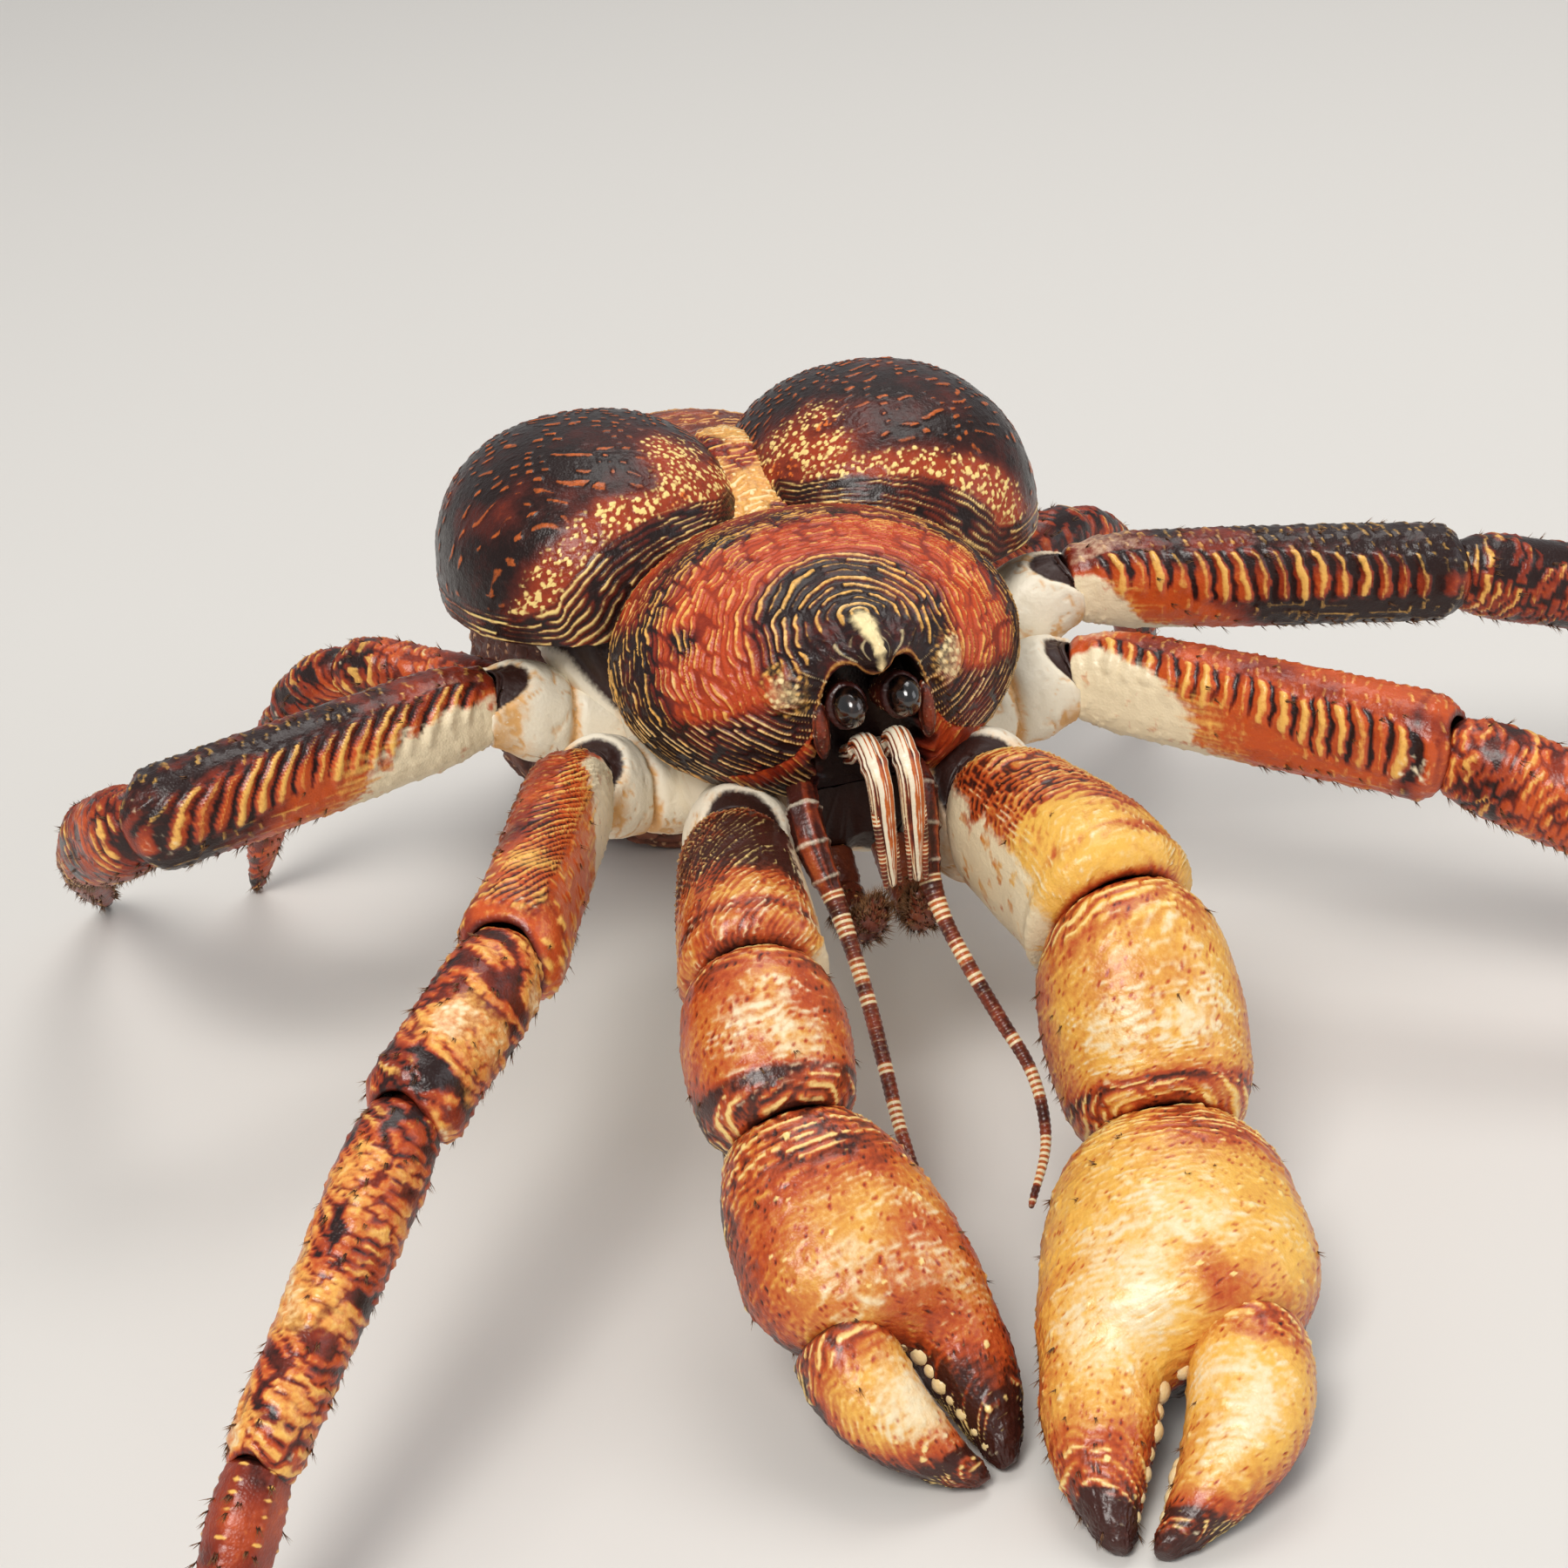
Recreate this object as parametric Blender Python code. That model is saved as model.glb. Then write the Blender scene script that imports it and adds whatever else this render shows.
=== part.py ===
"""Life-size coconut crab standing with its claws lowered, as separate solid parts.

The crab faces -Y, its own left is +X, +Z is up and the floor is z = 0. Every size
and place below is in millimetres and turns into metres when a mesh is made. The
whole model hangs on one empty that puts the origin at the bottom centre of its box.
"""

import math
from dataclasses import dataclass

import bmesh
import bpy
import numpy as np
from mathutils import Vector

MM = 0.001
GAP = 0.3
SHARP_EDGE = math.radians(40)
UP = np.array([0.0, 0.0, 1.0])

# Carapace and trunk
SHIELD_FLOOR = 74.0
LOBE_FLOOR = 95.0
LOBE_FLOOR_SLOPE = 0.2
LOBE_FLOOR_BEND = 18.0
SHIELD_HALF_WIDTH = 42.5
SHIELD_REAR_SWEEP = 13.0
SHIELD_SWEEP_START = -60.0
LOBE_CENTRE = (32.5, 27.0, 99.0)
LOBE_RADII = (34.5, 39.0, 31.5)
LOBE_POWER = 2.25
LOBE_SIDES = 20
FACE_NOTCH_HALF_WIDTH = 12.0
FACE_NOTCH_BACK = -57.5
FACE_NOTCH_TOP = 102.5
TRUNK_REAR = 60.0
TRUNK_TOP = 106.0

# Shield: y, half width, top and bottom height of each cross-section
SHIELD_SECTIONS = (
    (-77.5, 1.2, 109.4, 106.6),
    (-72.5, 6.0, 111.0, 102.4),
    (-67.0, 17.0, 112.2, 80.0),
    (-60.0, 26.0, 113.0, 72.0),
    (-50.0, 34.0, 115.5, 68.0),
    (-36.0, 40.5, 117.5, 66.0),
    (-22.0, SHIELD_HALF_WIDTH, 118.0, 66.0),
    (-9.0, 41.0, 116.0, 68.0),
    (3.0, 34.0, 111.0, 72.0),
)

# Cardiac wedge between the lobes: y, half width, top height
CARDIAC_SECTIONS = (
    (-6.0, 14.0, 109.0),
    (6.0, 13.0, 113.0),
    (20.0, 10.0, 119.0),
    (36.0, 7.0, 120.5),
    (50.0, 4.5, 115.0),
    (60.0, 3.0, 106.0),
)

# Trunk that carries the legs: y, half width, bottom height, how far its walls lean
# out under the lobes as a share of the half width
TRUNK_SECTIONS = (
    (-55.0, 14.0, 60.0, 0.0),
    (-46.0, 23.0, 52.0, 0.0),
    (-32.0, 31.0, 46.0, 0.0),
    (-12.0, 36.0, 43.0, 0.15),
    (4.0, 38.0, 42.0, 0.48),
    (26.0, 38.0, 43.0, 0.55),
    (44.0, 34.0, 49.0, 0.50),
    (TRUNK_REAR, 24.0, 62.0, 0.30),
)
TRUNK_LEAN_BOTTOM = 70.0

# Abdomen: share of its length, centre y, centre z, half width, half height, tilt
ABDOMEN_STATIONS = (
    (0.00, 60.4, 83.0, 30.0, 19.0, 0.0),
    (0.14, 68.0, 74.0, 41.0, 31.0, 7.0),
    (0.32, 80.0, 62.0, 49.0, 44.0, 14.0),
    (0.52, 96.0, 48.0, 53.0, 51.0, 24.0),
    (0.72, 114.0, 35.5, 50.0, 46.0, 38.0),
    (0.88, 130.0, 25.0, 38.0, 31.0, 54.0),
    (0.97, 139.0, 19.0, 24.0, 18.0, 66.0),
    (1.00, 143.0, 16.5, 13.0, 9.0, 70.0),
)
ABDOMEN_SIDES = 20
TERGITE_SPANS = ((0.16, 0.29), (0.32, 0.46), (0.49, 0.64), (0.67, 0.81))
TERGITE_THICKNESS = 2.2
TERGITE_LIFT = 1.0
TERGITE_REACH = math.radians(64)

# Tail fan folded under the end of the abdomen: y, half width, bottom and top height
TAIL_SECTIONS = (
    (122.0, 10.0, 1.0, 8.0),
    (130.0, 18.0, 0.0, 13.0),
    (140.0, 22.0, 0.0, 16.0),
    (150.0, 21.0, 0.0, 16.0),
    (157.0, 16.0, 0.0, 13.5),
    (160.0, 9.0, 1.5, 10.0),
)

# Girth of the parts of a walking leg: share along the part, half width, half height,
# both as shares of the leg's own girth
WALKING_GIRTHS = (
    ((0.0, 0.84, 0.80), (0.35, 0.88, 0.88), (0.75, 0.84, 0.90), (1.0, 0.74, 0.82)),
    ((0.0, 0.64, 0.74), (0.09, 0.76, 0.92), (0.32, 0.80, 1.02), (0.62, 0.78, 1.04),
     (0.85, 0.80, 1.02), (0.95, 0.84, 0.98), (1.0, 0.70, 0.84)),
    ((0.0, 0.58, 0.66), (0.14, 0.72, 0.84), (0.42, 0.76, 0.90), (0.72, 0.74, 0.88),
     (0.92, 0.74, 0.84), (1.0, 0.60, 0.70)),
    ((0.0, 0.52, 0.58), (0.10, 0.64, 0.72), (0.38, 0.64, 0.74), (0.72, 0.57, 0.64),
     (0.93, 0.54, 0.60), (1.0, 0.46, 0.50)),
    ((0.0, 0.40, 0.44), (0.10, 0.48, 0.52), (0.42, 0.42, 0.45), (0.76, 0.28, 0.29),
     (0.94, 0.15, 0.15), (1.0, 0.08, 0.08)),
)

# Girth of the parts of a claw limb, as shares of its girth; the hand also has an
# offset to the outer side, which carries the fixed finger past the moving one
CLAW_GIRTHS = (
    ((0.0, 0.70, 0.78), (0.35, 0.74, 0.84), (0.75, 0.70, 0.84), (1.0, 0.60, 0.72)),
    ((0.0, 0.58, 0.66), (0.10, 0.72, 0.80), (0.35, 0.82, 0.90), (0.65, 0.88, 0.96),
     (0.88, 0.90, 0.98), (0.96, 0.88, 0.94), (1.0, 0.74, 0.80)),
    ((0.0, 0.68, 0.72), (0.12, 0.88, 0.90), (0.35, 1.02, 1.00), (0.65, 1.02, 1.00),
     (0.86, 0.92, 0.92), (1.0, 0.70, 0.74)),
    ((0.0, 0.66, 0.66, 0.0), (0.07, 0.94, 0.82, 0.0), (0.25, 1.26, 0.96, 0.0),
     (0.44, 1.32, 0.96, 0.04), (0.54, 1.14, 0.86, 0.22), (0.61, 0.72, 0.66, 0.58),
     (0.76, 0.54, 0.52, 0.64), (0.89, 0.36, 0.36, 0.50), (1.0, 0.10, 0.12, 0.28)),
)
FINGER_GIRTH = (
    (0.52, 0.50, 0.58, -0.66), (0.60, 0.58, 0.60, -0.70), (0.74, 0.54, 0.50, -0.70),
    (0.88, 0.36, 0.34, -0.48), (1.0, 0.10, 0.12, -0.14),
)

# Girth of the parts of the small fourth leg
SMALL_LEG_GIRTHS = (
    WALKING_GIRTHS[0],
    ((0.0, 0.70, 0.80), (0.12, 0.84, 1.00), (0.50, 0.90, 1.08), (0.88, 0.88, 1.04),
     (1.0, 0.70, 0.84)),
    ((0.0, 0.62, 0.72), (0.20, 0.80, 0.92), (0.70, 0.82, 0.96), (1.0, 0.66, 0.76)),
    ((0.0, 0.58, 0.66), (0.10, 0.74, 0.86), (0.30, 0.76, 0.90), (0.52, 0.66, 0.78),
     (0.78, 0.44, 0.50), (0.95, 0.22, 0.24), (1.0, 0.14, 0.14)),
)


@dataclass
class Finish:
    """Colour, roughness and metallic value of one material."""

    colour: tuple
    roughness: float
    metallic: float = 0.0


FINISHES = {
    "lobe_shell": Finish((0.050, 0.018, 0.016), 0.34),
    "head_shell": Finish((0.240, 0.060, 0.030), 0.36),
    "leg_shell": Finish((0.420, 0.120, 0.040), 0.42),
    "claw_shell": Finish((0.640, 0.300, 0.080), 0.40),
    "ivory_skin": Finish((0.780, 0.660, 0.500), 0.50),
    "eye_cornea": Finish((0.015, 0.010, 0.010), 0.10),
    "eyestalk_shell": Finish((0.260, 0.060, 0.030), 0.40),
    "feeler": Finish((0.620, 0.250, 0.120), 0.45),
    "mouthpart": Finish((0.300, 0.110, 0.060), 0.50),
    "belly_skin": Finish((0.220, 0.100, 0.075), 0.60),
    "back_plate": Finish((0.330, 0.110, 0.055), 0.45),
}


@dataclass
class Limb:
    """One limb: side is +1 for the crab's left, yaws count from straight ahead."""

    name: str
    side: int
    root: tuple
    lengths: tuple
    yaws: tuple
    pitches: tuple
    bends: tuple
    girth: float
    toe_height: float = 0.0

    def joints(self):
        """Places of the joints; the last part slopes down to the toe height."""
        points = [np.array([self.side * self.root[0], self.root[1], self.root[2]])]
        pitches = [math.radians(pitch) for pitch in self.pitches]
        for index, (length, yaw) in enumerate(zip(self.lengths, self.yaws)):
            turn = math.radians(yaw)
            if index < len(pitches):
                slope = pitches[index]
            else:
                slope = math.asin((self.toe_height - points[-1][2]) / length)
            flat = length * math.cos(slope)
            step = (
                self.side * flat * math.sin(turn),
                -flat * math.cos(turn),
                length * math.sin(slope),
            )
            points.append(points[-1] + np.array(step))
        return points


CLAW_PARTS = ("base", "merus", "carpus", "hand")
WALKING_PARTS = ("base", "merus", "carpus", "propodus", "toe")
SMALL_PARTS = ("base", "merus", "carpus", "pincer")

CLAWS = (
    Limb("claw_left", 1, (21.0, -38.0, 59.0), (29.0, 51.0, 44.0, 47.0, 42.0),
         (7, 7, -6, -20, -33), (13, 0, -54, -13), (9, 16, 16, 14), 18.2, 1.8),
    Limb("claw_right", -1, (20.0, -38.0, 58.0), (28.0, 48.0, 31.0, 40.0, 32.0),
         (20, 12, 9, -13, -26), (17, -2, -37, -36), (9, 13, 13, 12), 15.0, 1.5),
)
WALKERS = (
    Limb("leg2_left", 1, (26.0, -18.0, 62.0), (35.0, 84.0, 41.0, 63.0, 54.0),
         (90, 45.5, 48, 49, 52), (13, -5.5, -20, -19), (12, 13, 11, 9), 11.0, 0.4),
    Limb("leg2_right", -1, (26.0, -18.0, 62.0), (32.0, 86.0, 40.0, 65.0, 54.0),
         (67, 20, 42, 40, 39), (20, 4.6, -15, -29), (12, 13, 11, 9), 11.0, 0.4),
    Limb("leg3_left", 1, (28.0, 6.0, 64.0), (44.0, 86.0, 41.0, 62.0, 60.0),
         (84, 74, 78, 86, 90), (25, -4, -15, -21), (10, 13, 11, 9), 10.5, 0.4),
    Limb("leg3_right", -1, (28.0, 6.0, 64.0), (40.0, 82.0, 41.0, 62.0, 56.0),
         (87, 72.5, 168, 176, 184), (25, -1, -26, -27), (10, 16, 11, 9), 10.5, 0.4),
)
SMALL_LEGS = (
    Limb("leg4_left", 1, (26.0, 30.0, 62.0), (27.5, 45.0, 24.0, 66.0),
         (107, 119, 127, 145), (8, 7.5, -35), (6, 8, 8), 7.0, 0.4),
    Limb("leg4_right", -1, (26.0, 30.0, 62.0), (27.5, 43.0, 24.0, 66.0),
         (107, 125, 135, 155), (8, 8, -35), (6, 8, 8), 7.0, 0.4),
)

# Feelers and mouthparts: points of the crab's left one, then its radii at the points
ANTENNULE_PATH = ((3.2, -59.0, 81.0), (3.4, -67.0, 84.5), (3.4, -73.5, 88.6),
                  (3.2, -79.0, 85.0), (3.0, -80.4, 74.0), (2.6, -80.8, 61.0))
ANTENNULE_RADII = (2.2, 2.4, 2.6, 2.6, 2.3, 0.9)
ANTENNA_LEFT_PATH = ((9.0, -61.0, 77.0), (8.6, -67.0, 74.0), (6.6, -74.0, 66.0),
                     (6.0, -77.6, 59.6), (6.6, -83.0, 53.0), (8.5, -91.0, 45.5),
                     (11.5, -99.0, 37.0), (14.0, -108.0, 29.5), (12.0, -120.0, 21.5),
                     (4.0, -132.0, 15.0))
ANTENNA_RIGHT_PATH = ((14.0, -61.0, 77.5), (15.6, -67.5, 74.5), (15.6, -74.0, 67.5),
                      (14.4, -78.0, 61.5), (13.6, -86.0, 53.0), (13.4, -94.0, 44.5),
                      (14.0, -104.0, 35.0), (15.0, -115.0, 26.5), (14.6, -127.0, 19.0),
                      (11.0, -138.0, 13.0))
ANTENNA_RADII = (3.0, 3.4, 3.2, 2.3, 1.6, 1.5, 1.4, 1.2, 1.0, 0.6)
MAXILLIPED_PATH = ((6.0, -50.0, 56.0), (6.6, -59.0, 49.0), (6.2, -68.0, 47.0),
                   (5.0, -73.5, 51.0), (4.0, -75.0, 56.5))
MAXILLIPED_RADII = (4.0, 4.2, 3.6, 2.8, 1.4)
EYESTALK_PATH = ((4.8, -59.0, 93.2), (5.4, -65.5, 95.4), (5.6, -71.4, 96.6))
EYESTALK_RADII = (3.2, 3.9, 3.6)
EYE_CENTRE = (5.6, -71.8, 96.8)
EYE_RADII = (3.3, 5.0, 4.1)


def clear_scene():
    """Remove every object and mesh that the file opened with."""
    for item in list(bpy.data.objects):
        bpy.data.objects.remove(item, do_unlink=True)
    for mesh in list(bpy.data.meshes):
        bpy.data.meshes.remove(mesh)


def make_material(name):
    """Principled material of the named finish, made once."""
    if name in bpy.data.materials:
        return bpy.data.materials[name]
    finish = FINISHES[name]
    material = bpy.data.materials.new(name)
    material.use_nodes = True
    shader = material.node_tree.nodes["Principled BSDF"]
    shader.inputs["Base Color"].default_value = (*finish.colour, 1.0)
    shader.inputs["Roughness"].default_value = finish.roughness
    shader.inputs["Metallic"].default_value = finish.metallic
    material.diffuse_color = (*finish.colour, 1.0)
    return material


def unit(vector):
    """The vector at length one."""
    return vector / np.linalg.norm(vector)


def smooth_stations(stations, shares):
    """Values of a table at the shares in its first column, along a smooth curve."""
    table = np.array(stations, dtype=float)
    knots = table[:, 0]
    slopes = np.gradient(table[:, 1:], knots, axis=0)
    place = np.clip(np.searchsorted(knots, shares, side="right") - 1, 0, len(knots) - 2)
    span = (knots[place + 1] - knots[place])[:, None]
    step = ((shares - knots[place])[:, None]) / span
    low = table[place, 1:]
    high = table[place + 1, 1:]
    rise = high - low
    start = slopes[place] * span
    end = slopes[place + 1] * span
    bend = start + end - 2 * rise
    return low + step * (start + step * (3 * rise - 2 * start - end + step * bend))


def fan_caps(rings, points):
    """Close both end rings by fans round their middles, which join the points."""
    rows, count = rings.shape[:2]
    points += [rings[0].mean(axis=0).tolist(), rings[-1].mean(axis=0).tolist()]
    last = (rows - 1) * count
    faces = []
    for column in range(count):
        after = (column + 1) % count
        faces.append((after, column, rows * count))
        faces.append((last + column, last + after, rows * count + 1))
    return faces


def strip_caps(rings):
    """Close both end rings, each an outer arc and the way back along an inner one."""
    rows, count = rings.shape[:2]
    last = (rows - 1) * count
    faces = []
    for outer in range(count // 2 - 1):
        inner = count - 1 - outer
        faces.append((outer + 1, outer, inner))
        faces.append((outer + 1, inner, inner - 1))
        faces.append((last + outer, last + outer + 1, last + inner))
        faces.append((last + outer + 1, last + inner - 1, last + inner))
    return faces


def add_solid(name, rings, finish, parent, arched=False):
    """Loft closed rings of points into one solid of triangles; arched ones are shells."""
    rings = np.asarray(rings, dtype=float)
    rows, count = rings.shape[:2]
    points = rings.reshape(-1, 3).tolist()
    faces = strip_caps(rings) if arched else fan_caps(rings, points)
    for row in range(rows - 1):
        for column in range(count):
            after = (column + 1) % count
            low = row * count
            high = low + count
            faces.append((low + column, low + after, high + after))
            faces.append((low + column, high + after, high + column))
    mesh = bpy.data.meshes.new(name)
    mesh.from_pydata([tuple(value * MM for value in point) for point in points], [], faces)
    edit = bmesh.new()
    edit.from_mesh(mesh)
    bmesh.ops.recalc_face_normals(edit, faces=edit.faces)
    edit.to_mesh(mesh)
    edit.free()
    mesh.materials.append(make_material(finish))
    mesh.shade_smooth()
    mesh.set_sharp_from_angle(angle=SHARP_EDGE)
    item = bpy.data.objects.new(name, mesh)
    bpy.context.collection.objects.link(item)
    item.parent = parent
    return item


def grown_copy(item, amount=GAP):
    """A cutter that stands the given amount outside the item's surface."""
    edit = bmesh.new()
    edit.from_mesh(item.data)
    edit.normal_update()
    moves = [vertex.normal * (amount * MM * vertex.calc_shell_factor()) for vertex in edit.verts]
    for vertex, move in zip(edit.verts, moves):
        vertex.co += move
    mesh = bpy.data.meshes.new(item.name + "_cutter")
    edit.to_mesh(mesh)
    edit.free()
    cutter = bpy.data.objects.new(item.name + "_cutter", mesh)
    bpy.context.collection.objects.link(cutter)
    cutter.hide_render = True
    cutter.display_type = "WIRE"
    return cutter


def keep_main_body(mesh):
    """Delete all but the largest connected body of a mesh."""
    edit = bmesh.new()
    edit.from_mesh(mesh)
    bmesh.ops.remove_doubles(edit, verts=edit.verts, dist=0.02 * MM)
    unseen = set(edit.verts)
    bodies = []
    while unseen:
        front = [unseen.pop()]
        body = list(front)
        while front:
            vertex = front.pop()
            for edge in vertex.link_edges:
                other = edge.other_vert(vertex)
                if other in unseen:
                    unseen.remove(other)
                    front.append(other)
                    body.append(other)
        bodies.append(body)
    bodies.sort(key=len)
    for body in bodies[:-1]:
        bmesh.ops.delete(edit, geom=body, context="VERTS")
    edit.to_mesh(mesh)
    edit.free()


def as_blank(item):
    """Turn an uncut solid into a hidden guide that later cuts are measured from."""
    item.hide_render = True
    item.display_type = "WIRE"
    return item


def carve(item, neighbours):
    """Cut the item by grown copies of its neighbours and keep its main body."""
    cutters = []
    for neighbour in neighbours:
        cutter = grown_copy(neighbour)
        cut = item.modifiers.new("cut", "BOOLEAN")
        cut.operation = "DIFFERENCE"
        cut.solver = "EXACT"
        cut.object = cutter
        cutters.append(cutter)
    bpy.context.view_layer.update()
    depsgraph = bpy.context.evaluated_depsgraph_get()
    mesh = bpy.data.meshes.new_from_object(item.evaluated_get(depsgraph))
    item.modifiers.clear()
    for cutter in cutters:
        bpy.data.objects.remove(cutter, do_unlink=True)
    keep_main_body(mesh)
    mesh.set_sharp_from_angle(angle=SHARP_EDGE)
    item.data = mesh


def oval(count, power=2.0):
    """Points of a unit superellipse, as across and up values, from the right side."""
    angles = np.arange(count) * 2 * math.pi / count
    across = np.sign(np.cos(angles)) * np.abs(np.cos(angles)) ** (2 / power)
    rise = np.sign(np.sin(angles)) * np.abs(np.sin(angles)) ** (2 / power)
    return across, rise


def trunk_ring(y, half_width, top, bottom, count, power=2.0):
    """Upright oval ring across the body at one y."""
    across, rise = oval(count, power)
    middle = (top + bottom) / 2
    half = (top - bottom) / 2
    return np.stack([across * half_width, np.full(count, y), middle + rise * half], axis=1)


def lobe_floor(y):
    """Height of the underside of the lobes, which drops towards the rear."""
    return LOBE_FLOOR - LOBE_FLOOR_SLOPE * max(0.0, y - LOBE_FLOOR_BEND)


def build_shield(root):
    """Head shield: domed sections swept back at the sides, with a notch for the face."""
    rings = []
    rear = SHIELD_SECTIONS[-1][0]
    for y, half_width, top, bottom in SHIELD_SECTIONS:
        ring = trunk_ring(y, half_width, top, bottom, 20, 2.15)
        back = np.clip((y - SHIELD_SWEEP_START) / (rear - SHIELD_SWEEP_START), 0, 1)
        ring[:, 1] -= SHIELD_REAR_SWEEP * back * (ring[:, 0] / half_width) ** 2
        ring[:, 2] = np.maximum(ring[:, 2], SHIELD_FLOOR)
        rings.append(ring)
    notch_rings = []
    for y, width_share in ((-84.0, 1.0), (-70.0, 1.0), (FACE_NOTCH_BACK, 0.9)):
        notch_rings.append(trunk_ring(
            y, FACE_NOTCH_HALF_WIDTH * width_share, FACE_NOTCH_TOP, 60.0, 16, 3.2))
    notch = as_blank(add_solid("face_notch", notch_rings, "head_shell", root))
    shield = add_solid("shield", rings, "head_shell", root)
    carve(shield, [notch])
    return as_blank(add_solid("shield_blank", rings, "head_shell", root))


def build_cardiac(root, shield):
    """Wedge-shaped middle of the back between the two lobes."""
    rings = []
    for y, half_width, top in CARDIAC_SECTIONS:
        across = np.array([-1.0, 1.0, 1.0, 0.8, 0.4, 0.0, -0.4, -0.8, -1.0])
        height = top - 5.0 * np.abs(across) ** 3 * (half_width / CARDIAC_SECTIONS[0][1])
        height[:2] = lobe_floor(y)
        rings.append(np.stack([across * half_width, np.full(9, y), height], axis=1))
    carve(add_solid("cardiac", rings, "lobe_shell", root), [shield])
    return as_blank(add_solid("cardiac_blank", rings, "lobe_shell", root))


def build_lobe(root, name, side, shield, cardiac):
    """Swollen gill cover: a blunt egg, flat below, cut by the shield and the wedge."""
    rings = []
    across, rise = oval(LOBE_SIDES, LOBE_POWER)
    for angle in np.radians([5, 18, 36, 56, 76, 96, 116, 136, 156, 174]):
        reach = -math.cos(angle)
        size = math.sin(angle) ** (2 / LOBE_POWER)
        y = LOBE_CENTRE[1] + LOBE_RADII[1] * math.copysign(abs(reach) ** (2 / LOBE_POWER), reach)
        x = side * (LOBE_CENTRE[0] + LOBE_RADII[0] * size * across)
        z = LOBE_CENTRE[2] + LOBE_RADII[2] * size * rise
        rings.append(np.stack([x, np.full(LOBE_SIDES, y), np.maximum(z, lobe_floor(y))], axis=1))
    carve(add_solid(name, rings, "lobe_shell", root), [shield, cardiac])
    return as_blank(add_solid(name + "_blank", rings, "lobe_shell", root))


def build_trunk(root, shell_blanks):
    """Pale trunk under the shell, cut where the shell lies on it."""
    rings = []
    for y, half_width, bottom, lean in TRUNK_SECTIONS:
        ring = trunk_ring(y, half_width, TRUNK_TOP, bottom, 18, 2.6)
        height = (ring[:, 2] - TRUNK_LEAN_BOTTOM) / (LOBE_FLOOR - TRUNK_LEAN_BOTTOM)
        ring[:, 0] *= 1.0 + lean * np.clip(height, 0.0, 1.0)
        rings.append(ring)
    carve(add_solid("trunk", rings, "ivory_skin", root), shell_blanks)
    return as_blank(add_solid("trunk_blank", rings, "ivory_skin", root))


def abdomen_ring(share, angles, lift=0.0):
    """Points of the abdomen's surface at angles from its top, raised by the lift."""
    y, z, half_width, half_height, tilt = smooth_stations(ABDOMEN_STATIONS, np.array([share]))[0]
    lean = math.radians(tilt)
    across = (half_width + lift) * np.sin(angles)
    rise = (half_height + lift) * np.cos(angles)
    points = np.stack([across, y + rise * math.sin(lean), z + rise * math.cos(lean)], axis=1)
    points[:, 2] = np.maximum(points[:, 2], 0.0)
    return points


def build_abdomen(root, neighbours):
    """Soft rounded abdomen that curls back and down to the floor."""
    angles = np.arange(ABDOMEN_SIDES) * 2 * math.pi / ABDOMEN_SIDES
    shares = [0.0, 0.08, 0.20, 0.34, 0.48, 0.62, 0.76, 0.88, 0.96, 1.0]
    abdomen = add_solid(
        "abdomen", [abdomen_ring(share, angles) for share in shares], "belly_skin", root)
    carve(abdomen, neighbours)
    return abdomen


def build_tergites(root):
    """Hard plates that lie over the top of the abdomen, one behind another."""
    for index, (start, end) in enumerate(TERGITE_SPANS, start=1):
        reach = TERGITE_REACH * (1.0 - 0.06 * index)
        angles = np.linspace(-reach, reach, 8)
        rings = []
        for share in np.linspace(start, end, 3):
            outer = abdomen_ring(share, angles, TERGITE_LIFT + TERGITE_THICKNESS)
            inner = abdomen_ring(share, angles[::-1], TERGITE_LIFT)
            rings.append(np.concatenate([outer, inner]))
        add_solid(f"tergite_{index}", rings, "back_plate", root, arched=True)


def build_tail_fan(root, abdomen):
    """Small tail fan folded under the end of the abdomen."""
    rings = []
    for y, half_width, bottom, top in TAIL_SECTIONS:
        rings.append(trunk_ring(y, half_width, top, bottom, 14, 2.6))
    fan = add_solid("tail_fan", rings, "back_plate", root)
    carve(fan, [abdomen])


def limb_path(joints, bends, places):
    """Points and directions at lengths along the joints' line, rounded at each joint."""
    joints = np.array(joints)
    steps = np.diff(joints, axis=0)
    lengths = np.linalg.norm(steps, axis=1)
    heads = steps / lengths[:, None]
    marks = np.concatenate([[0.0], np.cumsum(lengths)])
    part = np.clip(np.searchsorted(marks, places, side="right") - 1, 0, len(lengths) - 1)
    points = joints[part] + heads[part] * (places - marks[part])[:, None]
    directions = heads[part].copy()
    for index, reach in enumerate(bends, start=1):
        near = np.abs(places - marks[index]) < reach
        share = ((places[near] - marks[index] + reach) / (2 * reach))[:, None]
        start = joints[index] - reach * heads[index - 1]
        end = joints[index] + reach * heads[index]
        points[near] = ((1 - share) ** 2 * start + 2 * share * (1 - share) * joints[index]
                        + share ** 2 * end)
        directions[near] = (1 - share) * heads[index - 1] + share * heads[index]
    directions /= np.linalg.norm(directions, axis=1)[:, None]
    return points, directions


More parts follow.
